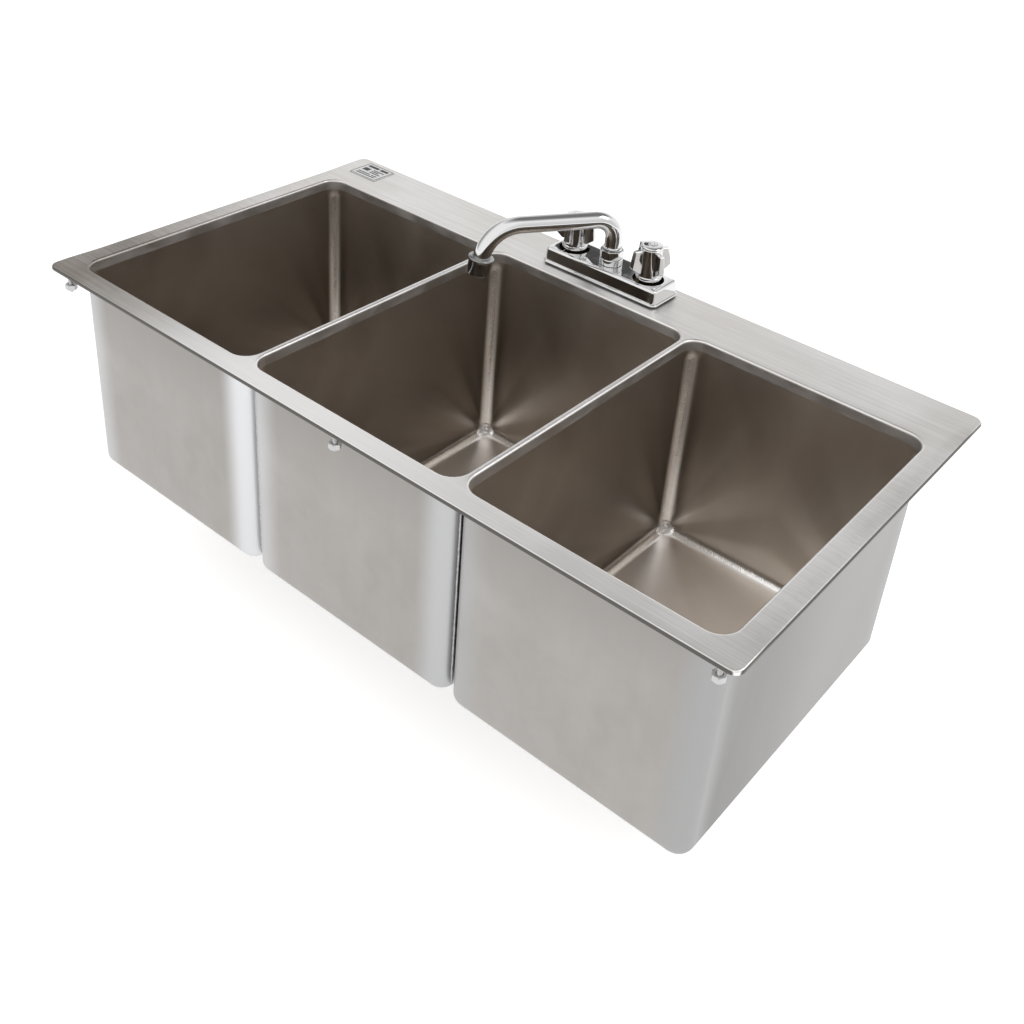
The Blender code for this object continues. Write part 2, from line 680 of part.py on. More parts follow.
def make_drain(label, x):
    """A basket strainer: body, gasket, locknut, lift-out basket and tailpiece."""
    location = (x, BOWL_Y, 0.0)
    turned(f"strainer_body_{label}", millimetres((
        (56.5, -246.5), (57.0, -247.8), (44.0, -247.8), (43.8, -283.0), (38.0, -292.5),
        (23.5, -301.5), (23.5, -315.0), (20.5, -315.0), (20.5, -300.5), (36.4, -291.0),
        (42.0, -282.0), (42.2, -250.0), (45.5, -247.0),
    )), BOWL_STEEL, location)
    turned(f"strainer_gasket_{label}", millimetres((
        (44.6, -250.9), (54.0, -250.9), (54.0, -253.3), (44.6, -253.3),
    )), RUBBER, location)
    prism(
        f"strainer_locknut_{label}",
        (circle(59 * MM, sides=8), circle(44.6 * MM)),
        -261.5 * MM, -253.6 * MM, ZINC, location,
    )
    basket = turned(f"strainer_basket_{label}", millimetres((
        (0.0, -247.6), (4.8, -248.2), (6.2, -250.2), (3.0, -255.0), (3.0, -275.4),
        (32.0, -275.4), (36.2, -252.6), (39.2, -249.6), (41.6, -249.6), (41.6, -250.6),
        (39.6, -250.8), (37.4, -253.0), (33.2, -276.6), (0.0, -276.6),
    )), BOWL_STEEL, location, closed=False, segments=16)
    holes = [
        (radius * math.cos(angle), radius * math.sin(angle), 2.4 * MM, -0.29, -0.27)
        for radius, count in ((12 * MM, 4), (23 * MM, 8))
        for angle in (math.tau * (step + 0.5) / count for step in range(count))
    ]
    holes_mesh = cylinders_mesh("basket_holes", holes, 6)
    boolean(basket, cutter(f"cut_basket_{label}", holes_mesh, location), "DIFFERENCE")
    prism(
        f"tailpiece_nut_{label}",
        (circle(30 * MM, sides=8), circle(TAIL_RADIUS + GAP)),
        -326.0 * MM, -317.6 * MM, CHROME, location,
    )
    turned(f"tailpiece_{label}", [
        (23.5 * MM, -315.4 * MM), (23.5 * MM, -317.2 * MM), (TAIL_RADIUS, -317.2 * MM),
        (TAIL_RADIUS, TAIL_END_Z), (TAIL_RADIUS - TAIL_WALL, TAIL_END_Z),
        (TAIL_RADIUS - TAIL_WALL, -315.4 * MM),
    ], CHROME, location)


make_rim()
for bowl_label, bowl_x in zip(BOWL_NAMES, BOWL_X):
    make_bowl(bowl_label, bowl_x)
    make_drain(bowl_label, bowl_x)
make_hold_downs()
make_label()
make_faucet_base()
make_waterway()
make_valve("hot", -VALVE_X, HOT_TURN)
make_valve("cold", VALVE_X, COLD_TURN)
make_spout()
make_inlets()
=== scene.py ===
"""Looks for a drop-in three compartment sink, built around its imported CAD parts.

Units are metres in the CAD frame: X to the right, Y to the back, Z up, origin at the
centre of the rim on the plane of the counter.
"""

import json
import math

import bmesh
import bpy
from mathutils import Matrix, Vector, noise


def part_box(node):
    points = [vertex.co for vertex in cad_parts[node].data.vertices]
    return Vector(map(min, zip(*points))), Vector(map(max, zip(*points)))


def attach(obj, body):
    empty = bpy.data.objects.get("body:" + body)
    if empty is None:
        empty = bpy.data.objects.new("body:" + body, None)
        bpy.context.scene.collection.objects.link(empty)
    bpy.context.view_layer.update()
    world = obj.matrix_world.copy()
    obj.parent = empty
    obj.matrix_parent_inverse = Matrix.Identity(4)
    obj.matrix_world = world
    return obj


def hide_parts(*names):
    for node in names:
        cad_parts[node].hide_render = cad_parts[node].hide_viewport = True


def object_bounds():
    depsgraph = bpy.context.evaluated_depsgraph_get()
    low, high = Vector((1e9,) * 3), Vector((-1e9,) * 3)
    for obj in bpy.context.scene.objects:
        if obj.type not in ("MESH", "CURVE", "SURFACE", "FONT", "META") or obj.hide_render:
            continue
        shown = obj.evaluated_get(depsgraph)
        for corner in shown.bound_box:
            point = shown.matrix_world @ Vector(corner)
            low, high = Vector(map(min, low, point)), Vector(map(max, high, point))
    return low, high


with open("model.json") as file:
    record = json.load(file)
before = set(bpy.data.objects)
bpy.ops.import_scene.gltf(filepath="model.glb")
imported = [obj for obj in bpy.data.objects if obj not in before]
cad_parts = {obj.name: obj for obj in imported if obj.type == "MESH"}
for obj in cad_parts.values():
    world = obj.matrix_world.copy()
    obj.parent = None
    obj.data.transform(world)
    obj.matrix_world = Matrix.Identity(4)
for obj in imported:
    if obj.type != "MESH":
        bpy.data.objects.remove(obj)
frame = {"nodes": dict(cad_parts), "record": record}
CAD_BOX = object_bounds()

MM = 0.001
NODES = frame["nodes"]
SIDES = ("left", "middle", "right")
SCENE = bpy.context.scene

# Sheet metal
SHEET = 1.5 * MM
LIP_RADIUS = 2.2 * MM           # bend along the rim's outer edge
RIM_CORNER = 10 * MM
BAND_WIDTH = 12.5 * MM          # outer band of each side flange, which slopes down
BAND_DROP = 1.2 * MM
BAND_FADE = 45 * MM             # length over which the slope fades out towards the corners
CREASE = 2.0 * MM               # half the width of the soft bend where the band starts
EDGE_RADIUS = 3 * MM            # roll of the rim into each bowl
OPENING_CORNER = 19 * MM        # corners of the rim's openings
BOWL_CORNER = 15 * MM           # upright corners of a bowl
NECK = 12 * MM                  # height over which a bowl's corners tighten below the collar
BOWL_HEIGHT = 250 * MM
COVE = 11 * MM                  # radius between wall and floor
FLOOR_DIP = 4 * MM              # cross break towards the drain
DRAIN_HOLE = 45 * MM
NOTCH_INSET = 21 * MM           # from the rim's corners to the ends of its lip
LIP_BOTTOM = 0.0                # the lip rests on the counter
DECK_HOLE = 12.7 * MM
VALVE_X = 50.8 * MM             # half of the 4 inch centres


def centre_of(node):
    """Middle of a CAD node's box."""
    low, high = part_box(node)
    return (low + high) / 2


RIM_LOW, RIM_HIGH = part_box("rim_flange")
RIM_SIZE = RIM_HIGH - RIM_LOW
DECK_Z = RIM_HIGH.z
BOWL_LOW, BOWL_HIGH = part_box("bowl_middle")
BOWL_HALF = Vector((
    (BOWL_HIGH.x - BOWL_LOW.x) / 2 - SHEET,
    (BOWL_HIGH.y - BOWL_LOW.y) / 2 - SHEET,
))
BOWL_Y = centre_of("bowl_middle").y
BOWL_X = {side: centre_of("bowl_" + side).x for side in SIDES}
FLOOR_Z = DECK_Z - BOWL_HEIGHT
FAUCET = Vector((0.0, centre_of("faucet_base").y, DECK_Z))


# ---- material helpers

class Nodes:
    """Short calls that add nodes to a node tree."""

    def __init__(self, tree):
        self.tree = tree

    def put(self, socket, value):
        """Set a socket to a number or colour, or link an output to it."""
        if isinstance(value, bpy.types.NodeSocket):
            self.tree.links.new(value, socket)
        else:
            socket.default_value = value

    def fill(self, node, values):
        """Set or link a node's inputs by name, with _ for a space."""
        for key, value in values.items():
            self.put(node.inputs[key.replace("_", " ")], value)

    def node(self, kind, settings=None, **inputs):
        """A new node with its settings and inputs."""
        made = self.tree.nodes.new(kind)
        for key, value in (settings or {}).items():
            setattr(made, key, value)
        self.fill(made, inputs)
        return made

    def math(self, operation, first, second=0.0):
        """One step of arithmetic."""
        made = self.node("ShaderNodeMath", {"operation": operation})
        self.put(made.inputs[0], first)
        self.put(made.inputs[1], second)
        return made.outputs[0]


class Shader(Nodes):
    """A material with one Principled BSDF."""

    def __init__(self, name, **values):
        self.material = bpy.data.materials.new(name)
        self.material.use_nodes = True
        super().__init__(self.material.node_tree)
        self.bsdf = self.tree.nodes["Principled BSDF"]
        self.fill(self.bsdf, values)

    def object_point(self):
        """Object coordinates."""
        return self.node("ShaderNodeTexCoord").outputs["Object"]

    def place(self):
        """Where the shaded point lies in the scene."""
        return self.node("ShaderNodeNewGeometry").outputs["Position"]

    def noise(self, scale, detail=2.0, roughness=0.5, distortion=0.0):
        """The factor of a noise in object coordinates; scale is one number or one for each axis."""
        scale = scale if isinstance(scale, tuple) else (scale, scale, scale)
        place = self.node("ShaderNodeMapping", Vector=self.object_point(), Scale=scale)
        return self.node(
            "ShaderNodeTexNoise", Vector=place.outputs["Vector"], Scale=1.0, Detail=detail,
            Roughness=roughness, Distortion=distortion,
        ).outputs["Fac"]

    def span(self, value, low, high, start=0.0, end=1.0):
        """value brought from start..end to low..high."""
        return self.node(
            "ShaderNodeMapRange", {"interpolation_type": "SMOOTHSTEP"}, Value=value,
            From_Min=start, From_Max=end, To_Min=low, To_Max=high,
        ).outputs["Result"]

    def spread(self, noise_factor, low, high):
        """The usual values of a noise brought to low..high."""
        return self.span(noise_factor, low, high, 0.3, 0.7)

    def axes(self):
        """X, Y and Z of the object coordinates."""
        return self.node("ShaderNodeSeparateXYZ", Vector=self.object_point()).outputs

    def blend(self, factor, first, second):
        """A colour between two."""
        made = self.node("ShaderNodeMix", {"data_type": "RGBA"})
        for index, value in ((0, factor), (6, first), (7, second)):
            self.put(made.inputs[index], value)
        return made.outputs[2]

    def mix(self, factor, first, second):
        """A number between two."""
        made = self.node("ShaderNodeMix", {"data_type": "FLOAT"})
        for index, value in ((0, factor), (2, first), (3, second)):
            self.put(made.inputs[index], value)
        return made.outputs[0]

    def bump(self, height, strength, distance, normal=None):
        """A bumped normal."""
        made = self.node("ShaderNodeBump", Height=height, Strength=strength, Distance=distance)
        if normal is not None:
            self.put(made.inputs["Normal"], normal)
        return made.outputs["Normal"]

    def use(self, **sockets):
        """Link outputs to the shader's sockets; returns the material."""
        self.fill(self.bsdf, sockets)
        return self.material


def grey(value, warm=0.0):
    """An opaque grey, warmer for warm above 0."""
    return (value * (1 + warm), value, value * (1 - warm), 1.0)


# ---- materials

def on_lip(shader, across, along, height):
    """1 on the turned-down lip of the rim, 0 from two millimetres inside its outer edge; the mask of a
    painted dark line.
    """
    from_edge = shader.math(
        "MINIMUM",
        shader.math("SUBTRACT", RIM_SIZE.x / 2, shader.math("ABSOLUTE", across)),
        shader.math("SUBTRACT", RIM_SIZE.y / 2, shader.math("ABSOLUTE", along)),
    )
    return shader.math(
        "MULTIPLY", shader.span(height, 1.0, 0.0, DECK_Z - 0.9 * MM, DECK_Z - 0.3 * MM),
        shader.span(from_edge, 1.0, 0.0, 0.8 * MM, 1.8 * MM),
    )


def deck_steel():
    """Brushed sheet: grain along X, painted shade at the left end, a painted highlight along the front, a
    painted dark lip.
    """
    shader = Shader("deck_steel", Metallic=1.0)
    grain = shader.noise((30.0, 2600.0, 2600.0), 3.0, 0.6)
    streaks = shader.noise((5.0, 380.0, 380.0), 3.0, 0.6)
    clouds = shader.noise(7.0, 3.0, 0.5, 0.3)
    tone = shader.spread(clouds, 0.15, 0.85)
    tone = shader.math("ADD", tone, shader.spread(streaks, -0.22, 0.22))
    tone = shader.math("ADD", tone, shader.spread(grain, -0.24, 0.24))
    colour = shader.blend(tone, grey(0.71, 0.035), grey(0.91, 0.015))
    across, along, height = shader.axes()
    # painted shade: the left end and the front-left corner of the deck darkened
    painted_dark_end = shader.math(
        "MULTIPLY",
        shader.span(across, 1.0, 0.0, RIM_LOW.x + 30 * MM, RIM_LOW.x + 320 * MM),
        shader.span(along, 1.0, 0.05, RIM_LOW.y + 40 * MM, RIM_LOW.y + 330 * MM),
    )
    # painted highlight: a lighter strip along the front of the deck, fading out towards the right end
    painted_front_highlight = shader.math(
        "MULTIPLY",
        shader.span(across, 0.9, 0.0, 0.0, RIM_HIGH.x - 50 * MM),
        shader.span(along, 1.0, 0.0, RIM_LOW.y + 10 * MM, RIM_LOW.y + 60 * MM),
    )
    colour = shader.blend(painted_front_highlight, colour, shader.blend(tone, grey(0.92, 0.02), grey(1.0)))
    colour = shader.blend(painted_dark_end, colour, shader.blend(tone, grey(0.22, 0.13), grey(0.42, 0.07)))
    # painted shade: the turned-down lip darkened to a thin dark line under the deck's edge
    colour = shader.blend(on_lip(shader, across, along, height), colour, grey(0.11, 0.06))
    rough = shader.spread(clouds, 0.34, 0.42)
    normal = shader.bump(clouds, 0.3, 2 * MM)
    normal = shader.bump(grain, 0.10, 0.03 * MM, normal)
    return shader.use(Base_Color=colour, Roughness=rough, Normal=normal)


def collar_steel():
    """The weld-ground band at the top of each bowl."""
    shader = Shader("collar_steel", Metallic=1.0)
    grain = shader.noise((1500.0, 1500.0, 90.0), 3.0, 0.6)
    clouds = shader.noise((30.0, 30.0, 60.0), 3.0, 0.55)
    colour = shader.blend(clouds, grey(0.44, 0.05), grey(0.60, 0.04))
    rough = shader.spread(clouds, 0.40, 0.56)
    normal = shader.bump(clouds, 0.4, 0.8 * MM)
    normal = shader.bump(grain, 0.2, 0.04 * MM, normal)
    return shader.use(Base_Color=colour, Roughness=rough, Normal=normal)


def bowl_distances(shader):
    """Distances inside a bowl from its side walls, its end walls and its floor."""
    across, along, height = shader.axes()
    from_side = shader.math("SUBTRACT", BOWL_HALF.x, shader.math("ABSOLUTE", across))
    from_end = shader.math("SUBTRACT", BOWL_HALF.y, shader.math("ABSOLUTE", along))
    return from_side, from_end, shader.math("SUBTRACT", height, FLOOR_Z)


def painted_sheen_fan(shader, from_side, from_end, height):
    """Painted reflection: light sweeps that fan out of the lower corners, as a satin finish mirrors them."""
    squares = [shader.math("MULTIPLY", distance, distance) for distance in (from_side, from_end)]
    reach = shader.math("SQRT", shader.math("ADD", *squares))
    rise = shader.math("ARCTAN2", height, reach)
    sweep = shader.math("ARCTAN2", from_side, from_end)
    spot = shader.node("ShaderNodeCombineXYZ", X=rise, Y=sweep, Z=shader.axes()[1])
    fan = shader.node(
        "ShaderNodeTexNoise", Vector=spot.outputs["Vector"], Scale=3.2, Detail=1.5, Roughness=0.5,
    ).outputs["Fac"]
    near = shader.span(shader.math("ADD", reach, height), 1.0, 0.2, 0.0, 320 * MM)
    return shader.math("MULTIPLY", shader.span(fan, 0.0, 1.0, 0.38, 0.68), near)


def bowl_bends(shader, from_side, from_end, height):
    """1 in a bowl's floor corners, and 1 along its upright and floor bends."""
    sideways = shader.math("ADD", from_side, from_end)
    at_corner = shader.span(shader.math("ADD", sideways, height), 1.0, 0.0, 14 * MM, 25 * MM)
    upright = shader.span(sideways, 1.0, 0.0, 8.8 * MM, 12.5 * MM)
    low = shader.math("ADD", shader.math("MINIMUM", from_side, from_end), height)
    along_floor = shader.span(low, 1.0, 0.0, 6.4 * MM, 9.5 * MM)
    return at_corner, shader.math("MAXIMUM", upright, along_floor)


def bowl_steel():
    """Inside of a bowl: satin walls, ground bends and rough floor welds, with painted shade, light,
    reflections and highlights.
    """
    shader = Shader("bowl_steel", Metallic=1.0)
    from_side, from_end, height = bowl_distances(shader)
    grain = shader.noise((1300.0, 1300.0, 60.0), 3.0, 0.6)
    clouds = shader.noise((7.0, 7.0, 5.0), 3.0, 0.55, 0.6)
    weld = shader.noise(170.0, 3.0, 0.65, 0.6)
    fan = painted_sheen_fan(shader, from_side, from_end, height)
    at_corner, bend = bowl_bends(shader, from_side, from_end, height)
    painted_floor_light = shader.span(height, 1.0, 0.0, 1 * MM, 8 * MM)
    colour = shader.blend(shader.spread(clouds, 0.0, 1.0), grey(0.40, 0.14), grey(0.51, 0.12))
    # painted shade: the left wall of each bowl darkened, most towards the bottom
    shaded_left_wall = shader.math(
        "MULTIPLY", shader.span(shader.axes()[0], 1.0, 0.0, 10 * MM - BOWL_HALF.x, 30 * MM - BOWL_HALF.x),
        shader.span(height, 1.0, 0.4, 60 * MM, 210 * MM),
    )
    colour = shader.blend(shaded_left_wall, colour, grey(0.17, 0.15))
    # painted reflection: the fans lighter, dimmer on the shaded left wall
    colour = shader.blend(fan, colour, shader.blend(shaded_left_wall, grey(0.64, 0.09), grey(0.28, 0.13)))
    # painted light: the floor far lighter than the walls, lightest in the fans
    colour = shader.blend(painted_floor_light, colour, shader.blend(fan, grey(0.88, 0.06), grey(0.98, 0.02)))
    # ground welds in the bends and floor corners, painted near white as a highlight
    colour = shader.blend(shader.math("MAXIMUM", at_corner, bend), colour, grey(0.92, 0.02))
    rough = shader.mix(fan, shader.spread(clouds, 0.36, 0.46), 0.30)
    rough = shader.mix(bend, rough, 0.27)
    normal = shader.bump(clouds, 0.5, 3 * MM)
    normal = shader.bump(grain, 0.12, 0.04 * MM, normal)
    rough_spots = shader.math("MAXIMUM", at_corner, shader.math("MULTIPLY", bend, 0.05))
    normal = shader.bump(shader.math("MULTIPLY", weld, rough_spots), 1.0, 7 * MM, normal)
    return shader.use(Base_Color=colour, Roughness=rough, Normal=normal)


def mill_colour(shader, clouds):
    """Mill finish with clouds, small spots and faint upright streaks."""
    spots = shader.noise((28.0, 28.0, 22.0), 3.0, 0.6, 0.8)
    streaks = shader.noise((160.0, 160.0, 2.5), 2.0, 0.5)
    tone = shader.spread(clouds, 0.0, 0.74)
    tone = shader.math("ADD", tone, shader.spread(streaks, 0.0, 0.06))
    tone = shader.math("ADD", tone, shader.spread(spots, 0.0, 0.20))
    return shader.blend(tone, grey(0.34, 0.055), grey(0.44, 0.035))


def end_wall_shade(shader, along, clouds):
    """Painted shade on a bowl's left and right walls: darker than its front, lighter towards the back."""
    towards_back = shader.span(along, 0.0, 1.0, -0.9 * BOWL_HALF.y, 0.4 * BOWL_HALF.y)
    tone = shader.math("ADD", towards_back, shader.spread(clouds, -0.15, 0.15))
    return shader.blend(tone, grey(0.265, 0.012), grey(0.365, 0.02))


def shell_steel():
    """Outside of a bowl, with polished upright bends; a painted highlight on the bends, painted shade under
    the rim and on the ends.
    """
    shader = Shader("shell_steel", Metallic=1.0)
    across, along, height = shader.axes()
    fine = shader.noise(900.0, 2.0, 0.6)
    clouds = shader.noise((6.0, 6.0, 4.0), 3.0, 0.5, 0.5)
    corner = shader.math("ADD", shader.math("ABSOLUTE", across), shader.math("ABSOLUTE", along))
    furthest = BOWL_HALF.x + BOWL_HALF.y + 2 * SHEET
    bend = shader.span(corner, 0.0, 1.0, furthest - 2.8 * BOWL_CORNER, furthest - 0.7 * BOWL_CORNER)
    bend = shader.math("MULTIPLY", bend, shader.span(across, 0.5, 1.0, -BOWL_HALF.x, BOWL_HALF.x))
    end_wall = shader.span(
        shader.math("ABSOLUTE", across), 0.0, 1.0, BOWL_HALF.x - 3.0 * SHEET, BOWL_HALF.x - 0.6 * SHEET,
    )
    across_sink = shader.node("ShaderNodeSeparateXYZ", Vector=shader.place()).outputs["X"]
    colour = mill_colour(shader, clouds)
    # painted shade: the walls darker towards the rim, under its overhang
    shade_under_rim = shader.span(height, 0.0, 0.8, DECK_Z - 110 * MM, DECK_Z - 15 * MM)
    colour = shader.blend(shade_under_rim, colour, grey(0.31, 0.05))
    # painted shade: the end walls darker than the front walls
    colour = shader.blend(end_wall, colour, end_wall_shade(shader, along, clouds))
    # painted highlight: the bends lighter, brightest on the left of the sink and on each bowl's right side
    to_right = shader.span(across_sink, 0.0, 1.0, -0.5 * BOWL_HALF.x, 2 * BOWL_HALF.x)
    bend_highlight = shader.blend(to_right, (0.70, 0.705, 0.72, 1.0), grey(0.365))
    colour = shader.blend(bend, colour, bend_highlight)
    rough = shader.mix(bend, shader.spread(clouds, 0.40, 0.50), 0.36)
    normal = shader.bump(clouds, 0.4, 4 * MM)
    normal = shader.bump(fine, 0.06, 0.06 * MM, normal)
    return shader.use(Base_Color=colour, Roughness=rough, Normal=normal)


def chrome_plate():
    """Bright plating with faint smears."""
    shader = Shader("chrome_plate", Base_Color=grey(0.72), Metallic=1.0)
    smears = shader.noise(60.0, 3.0, 0.5)
    return shader.use(Roughness=shader.span(smears, 0.02, 0.09, 0.35, 0.75))


def speckled(name, light, dark, scale, dullness, tooth=0.0, metallic=0.0, detail=(3.0, 0.6)):
    """A material that one fine noise mottles; dullness is its range of roughness, tooth its bump."""
    shader = Shader(name, Metallic=metallic)
    spots = shader.noise(scale, *detail)
    sockets = {"Base_Color": shader.blend(spots, dark, light), "Roughness": shader.span(spots, *dullness)}
    if tooth:
        sockets["Normal"] = shader.bump(spots, tooth, 0.1 * MM)
    return shader.use(**sockets)


def small_metal(name, light, dark, roughness):
    """A small machined or plated fitting."""
    return speckled(name, light, dark, 300.0, (roughness - 0.06, roughness + 0.08), 0.15, 1.0)


DECK = deck_steel()
GROUND = collar_steel()
BEAD = small_metal("weld_bead", grey(0.70), grey(0.22), 0.38)
BOWL = bowl_steel()
SHELL = shell_steel()
CHROME = chrome_plate()
BRASS = small_metal("brass_body", (0.62, 0.44, 0.20, 1), (0.48, 0.33, 0.14, 1), 0.30)
ZINC = small_metal("zinc_plate", grey(0.66), grey(0.46), 0.30)
# painted shade: brass inside the base made dark, as the shade seen in the handle wells
SHADED_BRASS = small_metal("shaded_brass", (0.16, 0.12, 0.07, 1), (0.07, 0.05, 0.03, 1), 0.45)
RUBBER = speckled("black_rubber_skin", grey(0.035), grey(0.012), 900.0, (0.6, 0.85), 0.2, detail=(2.0, 0.5))
# dark unplated inside of the base and handles, made near black as painted shade
SHADED_CASTING = speckled("shaded_casting", grey(0.05), grey(0.02), 500.0, (0.5, 0.7), 0.2, 0.3)
# painted reflection: the aerator's plating darkened as if it mirrored the dark bowls
SHADED_PLATE = small_metal("shaded_plate", grey(0.34), grey(0.26), 0.08)
STRAINER = small_metal("strainer_steel", grey(0.60), grey(0.50), 0.22)
FILM = speckled("label_film", grey(0.80), grey(0.70), 700.0, (0.4, 0.55), 0.05)
INK = speckled("label_ink", grey(0.06), grey(0.02), 900.0, (0.4, 0.6))

SLOT_MATERIALS = {
    "brushed_stainless": DECK, "bowl_stainless": BOWL, "chrome": CHROME, "brass": BRASS,
    "zinc_plated_steel": ZINC, "black_rubber": RUBBER, "label_white": FILM,
}
NODE_SLOT = {row["node"]: row["material_slot"] for row in frame["record"]["subparts"]}
NODE_BODY = {
    node: body for body, nodes in frame["record"]["behaviour"]["bodies"].items() for node in nodes
}
IN_THE_BASE = ("faucet_waterway", "hot_cartridge", "cold_cartridge")
for node, material_slot in NODE_SLOT.items():
    NODES[node].data.materials.clear()
    NODES[node].data.materials.append(SHADED_BRASS if node in IN_THE_BASE else SLOT_MATERIALS[material_slot])


# ---- mesh helpers

ORIGIN = Vector((0.0, 0.0, 0.0))
DIAGONAL = Vector((1.0, 1.0))


def ring(half, radius, z, centre=ORIGIN, steps=8, side_steps=1):
    """A rounded rectangle at height z that reaches +-half."""
    corners = []
    for quarter, (sign_x, sign_y) in enumerate(((1, 1), (-1, 1), (-1, -1), (1, -1))):
        middle = Vector((
            centre.x + sign_x * (half.x - radius), centre.y + sign_y * (half.y - radius), z,
        ))
        corner = []
        for step in range(steps + 1):
            angle = math.radians(90 * (quarter + step / steps))
            corner.append(middle + radius * Vector((math.cos(angle), math.sin(angle), 0.0)))
        corners.append(corner)
    points = []
    for corner, following in zip(corners, corners[1:] + corners[:1]):
        points += corner
        for step in range(1, side_steps):
            points.append(corner[-1].lerp(following[0], step / side_steps))
    return points


def circle(radius, z, centre=ORIGIN, sides=48, turn=0.0):
    """A circle or regular polygon at height z."""
    return [
        Vector((
            centre.x + radius * math.cos(turn + math.tau * side / sides),
            centre.y + radius * math.sin(turn + math.tau * side / sides),
            z,
        ))
        for side in range(sides)
    ]


def skin(bm, rings, closed=False):
    """Quads from each ring of points to the next, and to the first again if closed; their vertices."""
    made = [[bm.verts.new(point) for point in points] for points in rings]
    pairs = list(zip(made, made[1:]))
    if closed:
        pairs.append((made[-1], made[0]))
    for first, second in pairs:
        for index, vertex in enumerate(first):
            following = (index + 1) % len(first)
            bm.faces.new((vertex, first[following], second[following], second[index]))
    return made


def loop_edges(bm, vertices):
    """The edges of a closed ring of vertices, made where they are missing."""
    edges = []
    for first, second in zip(vertices, vertices[1:] + vertices[:1]):
        edges.append(bm.edges.get((first, second)) or bm.edges.new((first, second)))
    return edges


def face_up(bm):
    """Turn an open skin so that its widest level face looks up."""
    bmesh.ops.recalc_face_normals(bm, faces=bm.faces)
    widest = max(bm.faces, key=lambda face: abs(face.normal.z) * face.calc_area())
    if widest.normal.z < 0:
        bmesh.ops.reverse_faces(bm, faces=bm.faces)


def from_bmesh(name, bm, materials, location=ORIGIN, turn=0.0, outward=True):
    """A mesh object from a bmesh, with its materials."""
    if outward:
        bmesh.ops.recalc_face_normals(bm, faces=bm.faces)
    mesh = bpy.data.meshes.new(name)
    bm.to_mesh(mesh)
    bm.free()
    made = bpy.data.objects.new(name, mesh)
    SCENE.collection.objects.link(made)
    for material in materials:
        mesh.materials.append(material)
    made.location = location
    made.rotation_euler = (0.0, 0.0, math.radians(turn))
    return made


def thicken(made, thickness, material_offset=0):
    """Give an open skin its thickness, below its faces."""
    modifier = made.modifiers.new("thickness", "SOLIDIFY")
    modifier.thickness = thickness
    modifier.offset = -1.0
    modifier.use_even_offset = True
    modifier.material_offset = material_offset


def join(made, tool, operation):
    """Boolean with a tool, which is then gone."""
    modifier = made.modifiers.new("join", "BOOLEAN")
    modifier.operation = operation
    modifier.object = tool
    modifier.solver = "EXACT"
    bake(made)
    bpy.data.objects.remove(tool, do_unlink=True)


def bake(made):
    """Apply an object's modifiers."""
    bpy.context.view_layer.update()
    graph = bpy.context.evaluated_depsgraph_get()
    mesh = bpy.data.meshes.new_from_object(made.evaluated_get(graph))
    made.modifiers.clear()
    made.data = mesh


def bevel(made, width, segments, angle=30.0):
    """Round an object's sharp edges."""
    modifier = made.modifiers.new("bevel", "BEVEL")
    modifier.width = width
    modifier.segments = segments
    modifier.limit_method = "ANGLE"
    modifier.angle_limit = math.radians(angle)
    bake(made)


def stand_in(made, node, angle=35.0):
    """Shade a finished piece and show it in place of a CAD node."""
    made.data.shade_smooth()
    made.data.set_sharp_from_angle(angle=math.radians(angle))
    modifier = made.modifiers.new("even_shading", "WEIGHTED_NORMAL")
    modifier.keep_sharp = True
    bake(made)
    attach(made, NODE_BODY[node])
    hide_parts(node)


def turned(name, profile, materials, location, sides=48, closed=True, turn=0.0):
    """A turned piece from (radius, height) points in millimetres; a second material goes inside.

    A closed profile runs round its section; an open one is capped at both ends.
    """
    bm = bmesh.new()
    rings = [circle(radius * MM, height * MM, sides=sides) for radius, height in profile]
    made = skin(bm, rings, closed)
    if not closed:
        bm.faces.new(made[0])
        bm.faces.new(made[-1])
    bmesh.ops.recalc_face_normals(bm, faces=bm.faces)
    for face in bm.faces:
        if face.normal.dot(face.calc_center_median() * Vector((1, 1, 0))) < -0.1 * MM:
            face.material_index = len(materials) - 1
    return from_bmesh(name, bm, materials, location, turn)


def arc(centre, radius, start, end, steps=6):
    """Points of an arc in a profile, with angles in degrees."""
    return [
        (
            centre[0] + radius * math.cos(math.radians(start + (end - start) * step / steps)),
            centre[1] + radius * math.sin(math.radians(start + (end - start) * step / steps)),
        )
        for step in range(steps + 1)
    ]


# ---- rim

def band_drop(x, y):
    """How far the outer band of a side flange lies below the deck."""
    beyond = abs(x) - (RIM_SIZE.x / 2 - BAND_WIDTH)
    slope = BAND_DROP / BAND_WIDTH
    if beyond <= -CREASE:
        drop = 0.0
    elif beyond < CREASE:
        drop = slope * (beyond + CREASE) ** 2 / (4 * CREASE)
    else:
        drop = slope * beyond
    from_end = RIM_SIZE.y / 2 - abs(y) - NOTCH_INSET
    fade = max(0.0, min(1.0, from_end / BAND_FADE))
    return drop * fade * fade * (3 - 2 * fade)


QUARTER = [(math.sin(math.radians(15 * step)), math.cos(math.radians(15 * step))) for step in range(7)]


def add_lip(bm):
    """The lip turned down round the rim; returns the edges of its top."""
    half = RIM_SIZE.xy / 2
    lip = []
    for across, down in QUARTER:
        inset = LIP_RADIUS * (1 - across)
        lip.append(ring(half - inset * DIAGONAL, RIM_CORNER - inset, DECK_Z - LIP_RADIUS * (1 - down)))
    lip.append(ring(half, RIM_CORNER, LIP_BOTTOM))
    return loop_edges(bm, skin(bm, lip)[0])


